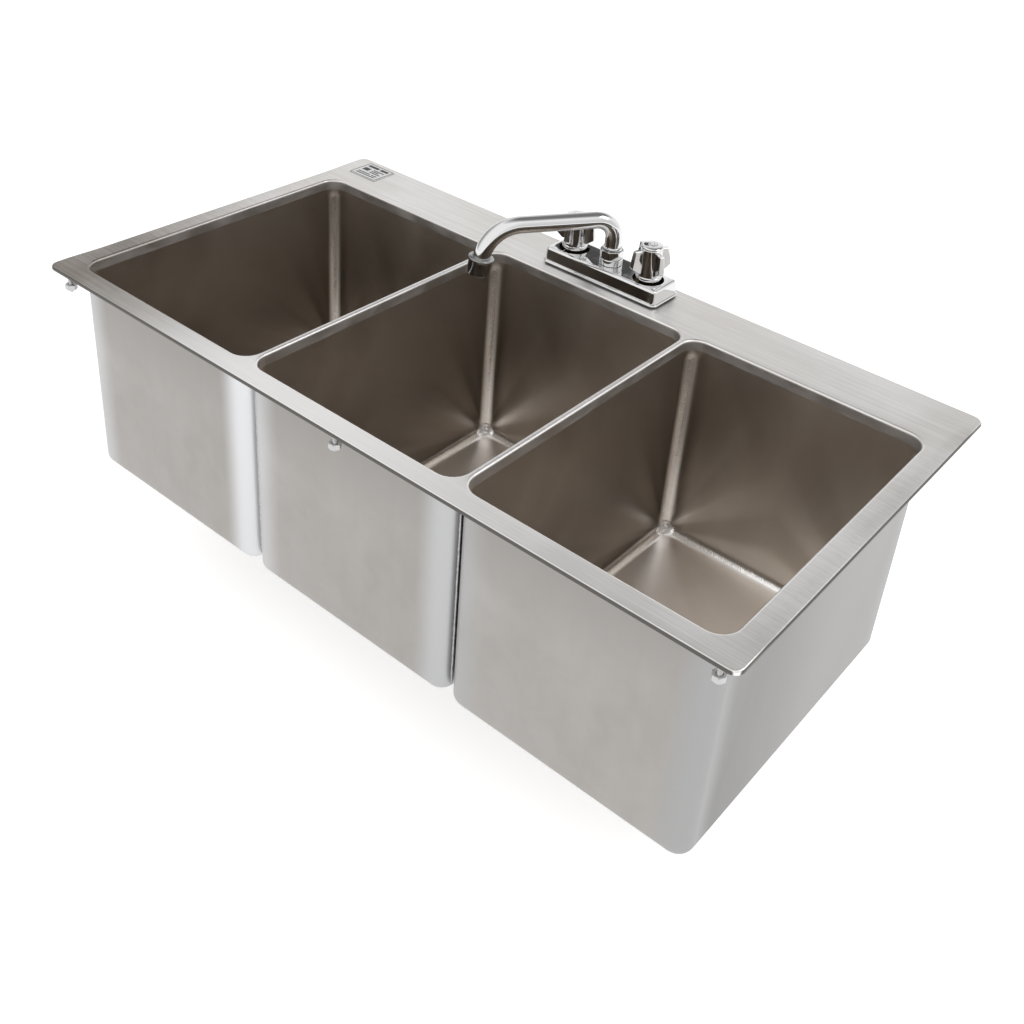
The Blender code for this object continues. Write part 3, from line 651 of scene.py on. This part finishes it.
def add_collar(bm, x):
    """The collar that leads into the bowl at x; returns the edges of its top."""
    middle = Vector((x, BOWL_Y, 0.0))
    collar = []
    for across, down in QUARTER:
        spread = EDGE_RADIUS * (1 - across)
        collar.append(ring(
            BOWL_HALF + spread * DIAGONAL, OPENING_CORNER + spread,
            DECK_Z - EDGE_RADIUS * (1 - down), middle,
        ))
    collar.append(ring(BOWL_HALF, OPENING_CORNER, BOWL_HIGH.z, middle))
    before = set(bm.faces)
    edges = loop_edges(bm, skin(bm, collar)[0])
    for face in bm.faces:
        if face not in before and face.calc_center_median().z < DECK_Z - 0.6 * EDGE_RADIUS:
            face.material_index = 1
    return edges


def slice_at(bm, point, normal):
    """Cut every face along a plane."""
    bmesh.ops.bisect_plane(
        bm, geom=bm.verts[:] + bm.edges[:] + bm.faces[:], plane_co=point, plane_no=normal,
    )


def slope_bands(bm):
    """Cut the rim where its side bands bend and fade out, and lower them."""
    for side in (-1, 1):
        for offset in (-1.0, -0.5, 0.0, 0.5, 1.0, 3.5):
            x = side * (RIM_SIZE.x / 2 - BAND_WIDTH + offset * CREASE)
            slice_at(bm, Vector((x, 0.0, 0.0)), Vector((1, 0, 0)))
        for step in range(7):
            y = side * (RIM_SIZE.y / 2 - NOTCH_INSET - BAND_FADE * step / 6)
            slice_at(bm, Vector((0.0, y, 0.0)), Vector((0, 1, 0)))
    for vertex in bm.verts:
        if vertex.co.z > 0.2 * DECK_Z:
            vertex.co.z -= band_drop(vertex.co.x, vertex.co.y)


def make_rim():
    """The rim sheet: deck, soft side bands, turned-down lip and a collar for each bowl."""
    bm = bmesh.new()
    edges = add_lip(bm)
    for x in BOWL_X.values():
        edges += add_collar(bm, x)
    for x in (-VALVE_X, VALVE_X):
        hole = [bm.verts.new(point) for point in circle(DECK_HOLE, DECK_Z, Vector((x, FAUCET.y, 0.0)), 32)]
        edges += loop_edges(bm, hole)
    bmesh.ops.triangle_fill(bm, edges=edges, use_beauty=True)
    slope_bands(bm)
    face_up(bm)
    rim = from_bmesh("rim_sheet", bm, [DECK, GROUND], outward=False)
    thicken(rim, SHEET)
    bake(rim)
    stand_in(rim, "rim_flange")


# ---- bowls

BOWL_SIDE_STEPS = 10            # points along each straight side of a bowl's rings
BUCKLE = 0.7 * MM               # most that a wall stands off flat


def floor_height(x, y):
    """The cross-broken floor of a bowl, in its own X and Y."""
    across = abs(x) / (BOWL_HALF.x - COVE)
    along = abs(y) / (BOWL_HALF.y - COVE)
    return FLOOR_Z - FLOOR_DIP * (1 - min(1.0, (across ** 9 + along ** 9) ** (1 / 9)))


def buckle(point, seed):
    """How far a wall is pushed out of flat at a point."""
    side = 1 - (abs(point.x) / BOWL_HALF.x) ** 4
    end = 1 - (abs(point.y) / BOWL_HALF.y) ** 4
    depth = min(1.0, (DECK_Z - point.z) / BOWL_HEIGHT)
    hold = max(side, end) * max(0.0, math.sin(math.pi * depth))
    return BUCKLE * hold * noise.noise(point * 9.0 + Vector((seed, 0.0, 0.0)))


def wall_ring(z, seed):
    """A bowl's wall at height z; its corners tighten just below the collar."""
    below = min(1.0, (BOWL_HIGH.z - z) / NECK)
    corner = OPENING_CORNER + (BOWL_CORNER - OPENING_CORNER) * below * below * (3 - 2 * below)
    points = ring(BOWL_HALF, corner, z, side_steps=BOWL_SIDE_STEPS)
    for point in points:
        outward = Vector((
            math.copysign(max(0.0, abs(point.x) - BOWL_HALF.x + corner), point.x),
            math.copysign(max(0.0, abs(point.y) - BOWL_HALF.y + corner), point.y),
            0.0,
        )).normalized()
        point += outward * buckle(point, seed)
    return points


def floor_rings(outline):
    """A bowl's floor, from the outline at its coves in to its drain hole."""
    steps = 10
    rings = []
    for step in range(1, steps + 1):
        points = []
        for start in outline:
            flat = start.xy.lerp(start.xy.normalized() * DRAIN_HOLE, step / steps)
            points.append(Vector((flat.x, flat.y, floor_height(flat.x, flat.y))))
        rings.append(points)
    return rings


def make_bowl(side, seed):
    """One deep bowl: walls a little out of flat, coves and a cross-broken floor."""
    neck_steps = 4
    wall_steps = 12
    cove_steps = 8
    top = BOWL_HIGH.z
    bottom = FLOOR_Z + COVE
    rings = [wall_ring(top - NECK * step / neck_steps, seed) for step in range(neck_steps)]
    rings += [
        wall_ring(top - NECK + (bottom - top + NECK) * step / wall_steps, seed)
        for step in range(wall_steps + 1)
    ]
    for step in range(1, cove_steps + 1):
        angle = math.radians(90 * step / cove_steps)
        inset = COVE * (1 - math.cos(angle))
        rings.append(ring(
            BOWL_HALF - inset * DIAGONAL, BOWL_CORNER - inset, FLOOR_Z + COVE * (1 - math.sin(angle)),
            side_steps=BOWL_SIDE_STEPS,
        ))
    rings += floor_rings(rings[-1])
    bm = bmesh.new()
    skin(bm, rings)
    face_up(bm)
    place = Vector((BOWL_X[side], BOWL_Y, 0.0))
    bowl = from_bmesh("basin_" + side, bm, [BOWL, SHELL], place, outward=False)
    thicken(bowl, SHEET, 1)
    bake(bowl)
    stand_in(bowl, "bowl_" + side)


def make_seam_bead(side, seed):
    """The rough upright weld on the front corner that faces the next bowl."""
    bm = bmesh.new()
    rings = []
    steps = 70
    radius = 1.3 * MM
    for step in range(steps + 1):
        share = step / steps
        z = BOWL_HIGH.z - 2 * MM + (FLOOR_Z + COVE - BOWL_HIGH.z) * share
        lump = noise.noise(Vector((seed, 0.0, z * 260.0)))
        shift = 0.5 * MM * noise.noise(Vector((seed, 3.0, z * 90.0)))
        size = radius * (1.0 + 0.5 * lump)
        middle = Vector((shift, -0.4 * MM, 0.0))
        rings.append([point + middle for point in circle(size, z, sides=8)])
    made = skin(bm, rings)
    bm.faces.new(made[0])
    bm.faces.new(made[-1])
    edge = Vector((
        BOWL_X[side] + BOWL_HALF.x + 0.6 * SHEET,
        BOWL_Y - BOWL_HALF.y + 0.75 * BOWL_CORNER, 0.0,
    ))
    bead = from_bmesh("seam_weld_" + side, bm, [BEAD], edge)
    bead.data.shade_smooth()
    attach(bead, NODE_BODY["bowl_" + side])


# ---- small hardware

def nut_ring(flat, sides, height, limit):
    """A polygon cut to a circle of radius limit; flat is its inner radius, all in millimetres."""
    samples = sides * 8
    points = []
    for sample in range(samples):
        angle = math.tau * sample / samples
        off = angle % (math.tau / sides) - math.pi / sides
        radius = min(flat / math.cos(off), limit)
        points.append(Vector((radius * math.cos(angle), radius * math.sin(angle), height)) * MM)
    return points


def nut(name, node, corner, sides, bore, material, turn=0.0):
    """A chamfered nut in the place of a CAD node; corner and bore are radii in millimetres."""
    flat = corner * math.cos(math.pi / sides)
    chamfer = (corner - flat) * 1.1
    low_corner, high_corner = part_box(node)
    middle = centre_of(node)
    low = low_corner.z / MM
    high = high_corner.z / MM
    shares = [(0.0, flat * 0.985), (0.3, flat + chamfer * 0.3), (0.6, corner)]
    levels = [(low + share * chamfer, limit) for share, limit in shares]
    levels += [(high - share * chamfer, limit) for share, limit in reversed(shares)]
    levels += [(high, bore + 0.4), (high - 0.4, bore), (low + 0.4, bore), (low, bore + 0.4)]
    bm = bmesh.new()
    skin(bm, [nut_ring(flat, sides, height, limit) for height, limit in levels], True)
    made = from_bmesh(name, bm, [material], Vector((middle.x, middle.y, 0.0)), turn)
    stand_in(made, node, 20.0)


def thread(radius, depth, pitch, top, bottom):
    """Profile of a thread, from top to bottom in millimetres."""
    turns = round((top - bottom) / pitch)
    step = (top - bottom) / turns
    points = []
    for count in range(turns):
        z = top - count * step
        points += [(radius - depth, z), (radius, z - 0.35 * step), (radius, z - 0.6 * step)]
    return points + [(radius - depth, bottom)]


def make_hold_downs():
    """Threaded studs under the rim and their nuts."""
    for row in ("front", "back"):
        for side in SIDES:
            node = f"hold_down_stud_{row}_{side}"
            low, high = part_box(node)
            middle = centre_of(node)
            top = high.z / MM
            profile = [(2.0, top), *thread(2.5, 0.35, 0.8, top - 0.5, low.z / MM + 0.8), (1.7, low.z / MM)]
            stud = turned(f"stud_{row}_{side}", profile, [ZINC], Vector((middle.x, middle.y, 0.0)), 20, False)
            stand_in(stud, node, 60.0)
            nut(f"nut_{row}_{side}", f"hold_down_nut_{row}_{side}", 6.2, 6, 2.8, ZINC)


def plate(bm, low, high, bottom, top, corner):
    """A flat plate with rounded corners, as one closed body in a bmesh."""
    middle = Vector(((low[0] + high[0]) / 2, (low[1] + high[1]) / 2, 0.0))
    half = Vector(((high[0] - low[0]) / 2, (high[1] - low[1]) / 2))
    made = skin(bm, [ring(half, corner, z, middle, 3) for z in (bottom, top)])
    bm.faces.new(made[0])
    bm.faces.new(made[-1])


def label_bars(size):
    """The frame and bars on a label of this size: each one's left, front, right and back."""
    line = 0.9 * MM
    inset = 1.0 * MM
    clear = inset + 1.3 * line
    bars = [
        (inset, inset, size.x - inset, inset + line),
        (inset, size.y - inset - line, size.x - inset, size.y - inset),
        (inset, clear, inset + line, size.y - clear),
        (size.x - inset - line, clear, size.x - inset, size.y - clear),
    ]
    # bottom, height and spans of the bars, as shares of the label
    rows = ((0.74, 0.13, ((0.12, 0.52), (0.58, 0.88))), (0.60, 0.05, ((0.46, 0.86),)),
            (0.50, 0.05, ((0.46, 0.74),)), (0.40, 0.05, ((0.46, 0.86),)),
            (0.44, 0.20, ((0.14, 0.36),)), (0.26, 0.05, ((0.14, 0.60), (0.66, 0.86))),
            (0.15, 0.05, ((0.14, 0.86),)))
    for bottom, height, spans in rows:
        for start, end in spans:
            bars.append((size.x * start, size.y * bottom, size.x * end, size.y * (bottom + height)))
    return bars


def make_label():
    """A white label with a dark frame and plain bars where a real one is printed."""
    low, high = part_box("deck_label")
    bm = bmesh.new()
    plate(bm, low, high, low.z, high.z - 0.12 * MM, 1.5 * MM)
    stand_in(from_bmesh("label_plate", bm, [FILM]), "deck_label")
    bm = bmesh.new()
    for left, front, right, back in label_bars(high - low):
        plate(bm, (low.x + left, low.y + front), (low.x + right, low.y + back),
              high.z - 0.10 * MM, high.z, 0.2 * MM)
    marks = from_bmesh("label_marks", bm, [INK])
    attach(marks, NODE_BODY["deck_label"])


# ---- faucet

BASE_WALL = 2 * MM
HANDLE_WELL = 17.5 * MM         # openings in the base that the handles stand in
BLADE_TURN = {"hot": 11.0, "cold": -25.0}   # degrees that the blades stand off the faucet's axes
SPOUT_RADIUS = 9.45 * MM
SPOUT_WALL = 1.2 * MM
SPOUT_TURN = 35.4               # degrees left of straight forward
SPOUT_RUN_Z = 72 * MM           # top of the first bend's centre line
SPOUT_RUN_END = 106 * MM        # reach at which the second bend starts
SPOUT_BEND = 22 * MM
SPOUT_END_BEND = 43 * MM
SPOUT_SLOPE = 1.0               # degrees that the run falls towards the outlet
SPOUT_LEAN = 9.0                # degrees that the outlet points forward of straight down
SPOUT_END = 5 * MM              # straight end inside the aerator


def make_faucet_base():
    """The hollow chrome base: a foot, drafted sides, a soft shoulder and three holes."""
    low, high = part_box("faucet_base")
    half = (high - low).xy / 2
    corner = 7.0 * MM
    profile = (
        (0.0, 1.9), (0.0, 2.7), (0.25, 3.2), (0.7, 3.6), (1.5, 3.9), (1.75, 4.3),
        (3.0, 16.2), (3.2, 17.1), (3.8, 18.0), (4.7, 18.7), (5.6, 19.0),
    )
    bm = bmesh.new()
    rings = [
        ring(half - inset * MM * DIAGONAL, corner - inset * MM, height * MM) for inset, height in profile
    ]
    edges = loop_edges(bm, skin(bm, rings)[-1])
    for x, radius in ((-VALVE_X, HANDLE_WELL), (0.0, 12 * MM), (VALVE_X, HANDLE_WELL)):
        hole = circle(radius, high.z - DECK_Z, Vector((x, 0.0, 0.0)))
        edges += loop_edges(bm, [bm.verts.new(point) for point in hole])
    bmesh.ops.triangle_fill(bm, edges=edges, use_beauty=True)
    face_up(bm)
    base = from_bmesh("base_shell", bm, [CHROME, SHADED_CASTING], FAUCET, outward=False)
    thicken(base, BASE_WALL, 1)
    bake(base)
    stand_in(base, "faucet_base")


def blade():
    """One flat handle blade with eased edges, thicker at the bottom."""
    profile = ((9, 55.2, 2.8), (21.5, 54.6, 2.8), (23.9, 35.0, 3.6), (15.5, 28.5, 3.6), (9, 28.5, 3.6))
    bm = bmesh.new()
    ends = [[bm.verts.new(Vector((r, side * half, z)) * MM) for r, z, half in profile] for side in (-1, 1)]
    for end in ends:
        bm.faces.new(end)
    for index in range(len(profile)):
        following = (index + 1) % len(profile)
        bm.faces.new((ends[0][index], ends[0][following], ends[1][following], ends[1][index]))
    made = from_bmesh("handle_blade", bm, [CHROME])
    bevel(made, 0.7 * MM, 3)
    return made


def make_handle(label, side):
    """A four-bladed handle with its button, standing a little above the base."""
    place = Vector((side * VALVE_X, FAUCET.y, DECK_Z))
    turn = BLADE_TURN[label]
    handle = turned(label + "_handle_casting", (
        (5.5, 60.4), (9.4, 60.3), (10.6, 60.1), (11.6, 59.6), (12.2, 59.0), (12.4, 58.4), (12.4, 57.6),
        (12.1, 57.2), (11.6, 57.0), (11.5, 56.6), (11.9, 56.1), (13.2, 25.9), (13.3, 25.3), (13.9, 24.9),
        (14.3, 24.3), (14.4, 23.3), (14.3, 21.0), (13.9, 20.0), (13.4, 19.7), (12.4, 19.7), (11.2, 24.0),
        (10.2, 53.1), (2.3, 53.1), (2.3, 54.5), (4.5, 54.5), (4.5, 58.1), (5.5, 58.1),
    ), [CHROME, SHADED_CASTING], place, 56, turn=turn)
    for quarter in range(4):
        tool = blade()
        tool.location = place
        tool.rotation_euler = (0.0, 0.0, math.radians(turn + 90 * quarter))
        join(handle, tool, "UNION")
    stand_in(handle, label + "_handle", 25.0)
    button = turned(label + "_button", (
        (0.5, 60.5), (1.0, 60.5), (1.3, 60.1), (1.6, 60.1), (1.9, 60.8), (3.6, 60.9), (4.5, 60.7),
        (5.1, 60.2), (5.1, 58.4), (0.5, 58.4),
    ), [CHROME], place, 40, False)
    stand_in(button, label + "_index_button", 40.0)


def bend_points(centre, radius, start, end, steps):
    """Points of a bend with their headings; centre is (reach, height), headings in degrees."""
    points = []
    for step in range(steps + 1):
        heading = math.radians(start + (end - start) * step / steps)
        points.append((centre + radius * Vector((-math.cos(heading), math.sin(heading))), heading))
    return points


def spout_route():
    """Centre line of the spout as points (reach, height) and headings, 0 up and 180 degrees down."""
    slope = 90 + SPOUT_SLOPE
    lean = 180 - SPOUT_LEAN
    points = [(Vector((0.0, 21.6 * MM)), 0.0)]
    points += bend_points(Vector((SPOUT_BEND, SPOUT_RUN_Z - SPOUT_BEND)), SPOUT_BEND, 0, slope, 12)
    last, heading = points[-1]
    run = Vector((math.sin(heading), math.cos(heading)))
    start = last + run * (SPOUT_RUN_END - last.x) / run.x
    inward = Vector((math.cos(heading), -math.sin(heading)))
    points += bend_points(start + SPOUT_END_BEND * inward, SPOUT_END_BEND, slope, lean, 18)
    last, heading = points[-1]
    points.append((last + SPOUT_END * Vector((math.sin(heading), math.cos(heading))), heading))
    return points


def tube_ring(point, heading, radius, sides=40):
    """A circle across the spout's centre line, which runs towards -Y."""
    across = Vector((1.0, 0.0, 0.0))
    along = Vector((0.0, math.cos(heading), math.sin(heading)))
    centre = Vector((0.0, -point.x, point.y))
    angles = [math.tau * side / sides for side in range(sides)]
    return [centre + radius * (math.cos(angle) * across + math.sin(angle) * along) for angle in angles]


def make_spout():
    """The swinging tube with its collar."""
    route = spout_route()
    bm = bmesh.new()
    rings = [tube_ring(point, heading, SPOUT_RADIUS) for point, heading in route]
    rings += [tube_ring(point, heading, SPOUT_RADIUS - SPOUT_WALL) for point, heading in reversed(route)]
    skin(bm, rings, True)
    tube = from_bmesh("spout_pipe", bm, [CHROME], FAUCET, -SPOUT_TURN)
    collar = turned("spout_collar", (
        (8.9, 40.0), (10.2, 40.0), (10.9, 39.7), (11.2, 39.1), (11.2, 37.8), (10.9, 37.2), (10.4, 36.9),
        (8.9, 36.9),
    ), [CHROME], FAUCET)
    join(tube, collar, "UNION")
    stand_in(tube, "spout_tube")


def make_spout_post():
    """The post that the spout turns on, and its nut."""
    post = turned("spout_pillar", (
        (11.2, 33.0), (11.2, 27.0), (12.4, 26.8), (12.8, 26.3), (12.9, 25.6), (12.9, 20.2), (12.6, 19.5),
        (11.6, 19.3), (11.6, 15.9), (7.4, 15.9), (7.4, 21.0), (9.9, 21.0), (9.9, 33.0),
    ), [CHROME], FAUCET)
    stand_in(post, "spout_post")
    nut("spout_gland", "spout_nut", 13.4, 8, 10.0, CHROME, 22.5)


def make_aerator():
    """The barrel at the end of the spout, in line with it."""
    turn = math.radians(SPOUT_TURN)
    end = spout_route()[-1][0]
    outlet = FAUCET + Vector((-end.x * math.sin(turn), -end.x * math.cos(turn), end.y))
    barrel = turned("aerator_barrel", (
        (9.8, 5.6), (13.2, 5.6), (13.9, 5.3), (14.3, 4.7), (14.3, 3.6), (13.9, 3.0), (13.2, 2.6),
        (12.9, 2.0), (12.8, -1.6), (12.3, -13.0), (12.0, -13.7), (11.6, -14.0), (10.0, -14.0),
        (10.0, -13.0), (10.6, -13.0), (10.6, -0.8), (9.8, -0.8),
    ), [SHADED_PLATE], outlet, 56)
    barrel.rotation_euler = (math.radians(-SPOUT_LEAN), 0.0, -turn)
    stand_in(barrel, "aerator_housing")


# ---- under the deck and in the drains

BASKET_HOLES = ((12, 4), (23, 8))   # distance from the middle in millimetres, and number


def make_inlets():
    """Threaded shanks through the deck and their locknuts."""
    for label in ("hot", "cold"):
        node = label + "_inlet_shank"
        low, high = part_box(node)
        middle = centre_of(node)
        top = (high.z - DECK_Z) / MM
        bottom = (low.z - DECK_Z) / MM
        profile = [
            (9.6, top), *thread(10.3, 0.7, 1.8, top - 0.8, bottom + 1.4),
            (9.1, bottom), (6.5, bottom), (6.5, top),
        ]
        shank = turned(label + "_shank", profile, [BRASS], Vector((middle.x, middle.y, DECK_Z)), 40)
        stand_in(shank, node, 60.0)
        nut(label + "_locknut", label + "_shank_locknut", 17.5, 6, 10.6, ZINC)


def make_drain(side):
    """The strainer under a bowl, its lift-out basket, nuts and tailpiece."""
    place = Vector((BOWL_X[side], BOWL_Y, 0.0))
    body = turned("strainer_" + side, (
        (56.0, -246.6), (56.8, -247.0), (57.0, -247.4), (56.9, -247.8), (44.0, -247.8), (43.8, -283.0),
        *arc((32.0, -280.4), 12.0, -12, -58, 6), (23.5, -301.5), *thread(23.5, 0.6, 1.5, -303.0, -314.4),
        (23.0, -315.0), (20.5, -315.0), (20.5, -300.5), (36.4, -291.0), (41.2, -284.6), (42.0, -282.0),
        (42.2, -250.0), (42.9, -248.4), (45.5, -247.0),
    ), [STRAINER], place, 72)
    stand_in(body, "strainer_body_" + side)
    make_basket(side, place)
    nut("strainer_ring_" + side, "strainer_locknut_" + side, 59, 8, 44.6, ZINC)
    nut("slip_nut_" + side, "tailpiece_nut_" + side, 30, 8, 19.3, CHROME)
    tail = turned("tail_" + side, (
        (23.3, -315.4), (23.5, -316.0), (23.4, -317.0), (19.6, -317.2), (19.0, -318.0), (19.0, -351.6),
        (18.7, -352.0), (17.5, -352.0), (17.4, -351.6), (17.4, -315.4),
    ), [CHROME], place, 56)
    stand_in(tail, "tailpiece_" + side)


def make_basket(side, place):
    """The lift-out cup of a strainer, with its knob, rim and holes."""
    basket = turned("basket_cup_" + side, (
        (0.4, -247.6), (3.0, -247.7), (4.8, -248.2), (5.9, -249.1), (6.2, -250.2), (5.4, -252.2),
        (3.6, -254.2), (3.0, -256.0), (3.0, -275.4), (31.0, -275.4), (32.4, -274.6), (36.2, -252.6),
        (37.2, -250.6), (39.2, -249.6), (41.2, -249.6), (41.6, -250.0), (41.6, -250.6), (39.6, -250.8),
        (38.2, -251.6), (37.4, -253.0), (33.6, -275.4), (32.2, -276.5), (0.4, -276.6),
    ), [STRAINER], place, 48, False)
    for reach, count in BASKET_HOLES:
        for step in range(count):
            angle = math.tau * (step + 0.5) / count
            spot = place + reach * MM * Vector((math.cos(angle), math.sin(angle), 0.0))
            tool = turned("hole", ((2.4, -270.0), (2.4, -282.0)), [STRAINER], spot, 16, False)
            join(basket, tool, "DIFFERENCE")
    stand_in(basket, "strainer_basket_" + side)


make_rim()
for seed, side in enumerate(SIDES):
    make_bowl(side, 10.0 * seed)
    make_drain(side)
make_seam_bead("left", 3.0)
make_seam_bead("middle", 8.0)
make_hold_downs()
make_label()
make_faucet_base()
make_handle("hot", -1)
make_handle("cold", 1)
make_spout()
make_spout_post()
make_aerator()
make_inlets()


# ---- floor, light and camera

FLOOR_SIZE = 60.0


def make_floor():
    """A plain pale floor under the drains."""
    bm = bmesh.new()
    half = FLOOR_SIZE / 2
    corners = ((-half, -half), (half, -half), (half, half), (-half, half))
    bm.faces.new([bm.verts.new((x, y, CAD_BOX[0].z)) for x, y in corners])
    shader = Shader("pale_floor", Roughness=0.9, Emission_Strength=0.65)
    mottle = shader.noise(3.0, 2.0, 0.5)
    colour = shader.blend(mottle, grey(0.80), grey(0.82))
    floor = from_bmesh("floor", bm, [shader.use(Base_Color=colour, Emission_Color=colour)])


def area_light(name, place, target, size, power):
    """A soft box that looks at target."""
    light = bpy.data.lights.new(name, "AREA")
    light.shape = "RECTANGLE"
    light.size, light.size_y = size
    light.energy = power
    lamp = bpy.data.objects.new(name, light)
    SCENE.collection.objects.link(lamp)
    lamp.location = place
    lamp.rotation_euler = (Vector(target) - Vector(place)).to_track_quat("-Z", "Y").to_euler()


# Camera, fitted to the corners of the rim and the bowls; degrees, metres and millimetres of lens
CAMERA_AZIMUTH = 35.974
CAMERA_ELEVATION = 29.747
CAMERA_ROLL = 5.478
CAMERA_TARGET = Vector((0.02936, 0.05634, 0.004))
CAMERA_DISTANCE = 1.27478
CAMERA_LENS = 43.746
CAMERA_SHIFT = (-0.040, -0.178)
CAMERA_DIRECTION = Vector((
    math.sin(math.radians(CAMERA_AZIMUTH)) * math.cos(math.radians(CAMERA_ELEVATION)),
    -math.cos(math.radians(CAMERA_AZIMUTH)) * math.cos(math.radians(CAMERA_ELEVATION)),
    math.sin(math.radians(CAMERA_ELEVATION)),
))


def ramp(room, value, stops):
    """A brightness looked up by a value in pairs of a place and a brightness."""
    made = room.node("ShaderNodeValToRGB", Fac=value)
    first, last = made.color_ramp.elements
    first.position, last.position = stops[0][0], stops[-1][0]
    first.color = grey(stops[0][1])
    last.color = grey(stops[-1][1])
    for place, brightness in stops[1:-1]:
        made.color_ramp.elements.new(place).color = grey(brightness)
    return made.outputs["Color"]


CARD_SHIFT = 45 * MM            # left of the spout, where the top of the base mirrors the card
CARD_HEIGHT = 18 * MM           # from the deck up to that top
CARD_RADIUS = math.radians(2.6)
CARD_EDGE = math.radians(1.0)
CARD_TONE = 0.08


def black_card(room, direction):
    """A small dark card in the room that the top of the faucet base mirrors; brightness around it."""
    mirrored_at = Vector((FAUCET.x - CARD_SHIFT, FAUCET.y, DECK_Z + CARD_HEIGHT))
    ray = (mirrored_at - CAMERA_TARGET - CAMERA_DISTANCE * CAMERA_DIRECTION).normalized()
    towards = room.node("ShaderNodeVectorMath", {"operation": "DOT_PRODUCT"})
    room.put(towards.inputs[0], direction)
    room.put(towards.inputs[1], (ray.x, ray.y, -ray.z))
    return room.node(
        "ShaderNodeMapRange", Value=towards.outputs["Value"], From_Min=math.cos(CARD_RADIUS + CARD_EDGE),
        From_Max=math.cos(CARD_RADIUS), To_Min=1.0, To_Max=CARD_TONE,
    ).outputs["Result"]


ROOM_TILT = 25.0                # degrees that the dim part of the ceiling leans to the back


def make_room():
    """Soft light from all round, dimmer overhead and at both far sides."""
    world = bpy.data.worlds.new("room")
    world.use_nodes = True
    room = Nodes(world.node_tree)
    direction = room.node("ShaderNodeTexCoord").outputs["Generated"]
    tilt = room.node("ShaderNodeMapping", Vector=direction, Rotation=(math.radians(ROOM_TILT), 0.0, 0.0))
    split = room.node("ShaderNodeSeparateXYZ", Vector=tilt.outputs["Vector"])
    halve = room.node("ShaderNodeMapRange", Value=split.outputs["X"], From_Min=-1.0)
    height = ramp(room, split.outputs["Z"], ((0.72, 1.1), (0.84, 0.62), (0.95, 0.22)))
    side = ramp(room, halve.outputs["Result"], ((0.025, 0.35), (0.20, 1.0), (0.80, 1.0), (0.97, 0.72)))
    strength = room.math("MULTIPLY", side, black_card(room, direction))
    room.fill(room.tree.nodes["Background"], {"Color": height, "Strength": strength})
    SCENE.world = world
    area_light("right_box", (1.5, 0.9, 1.9), (0.2, 0.0, -0.1), (1.2, 1.2), 10.0)


def make_camera():
    """The camera, front right and above, a little tilted."""
    data = bpy.data.cameras.new("camera")
    data.lens = CAMERA_LENS
    data.shift_x, data.shift_y = CAMERA_SHIFT
    camera = bpy.data.objects.new("camera", data)
    SCENE.collection.objects.link(camera)
    camera.matrix_world = (
        Matrix.Translation(CAMERA_TARGET + CAMERA_DIRECTION * CAMERA_DISTANCE)
        @ CAMERA_DIRECTION.to_track_quat("Z", "Y").to_matrix().to_4x4()
        @ Matrix.Rotation(math.radians(CAMERA_ROLL), 4, "Z")
    )
    SCENE.camera = camera


make_floor()
make_room()
make_camera()
SCENE.view_settings.view_transform = "Standard"
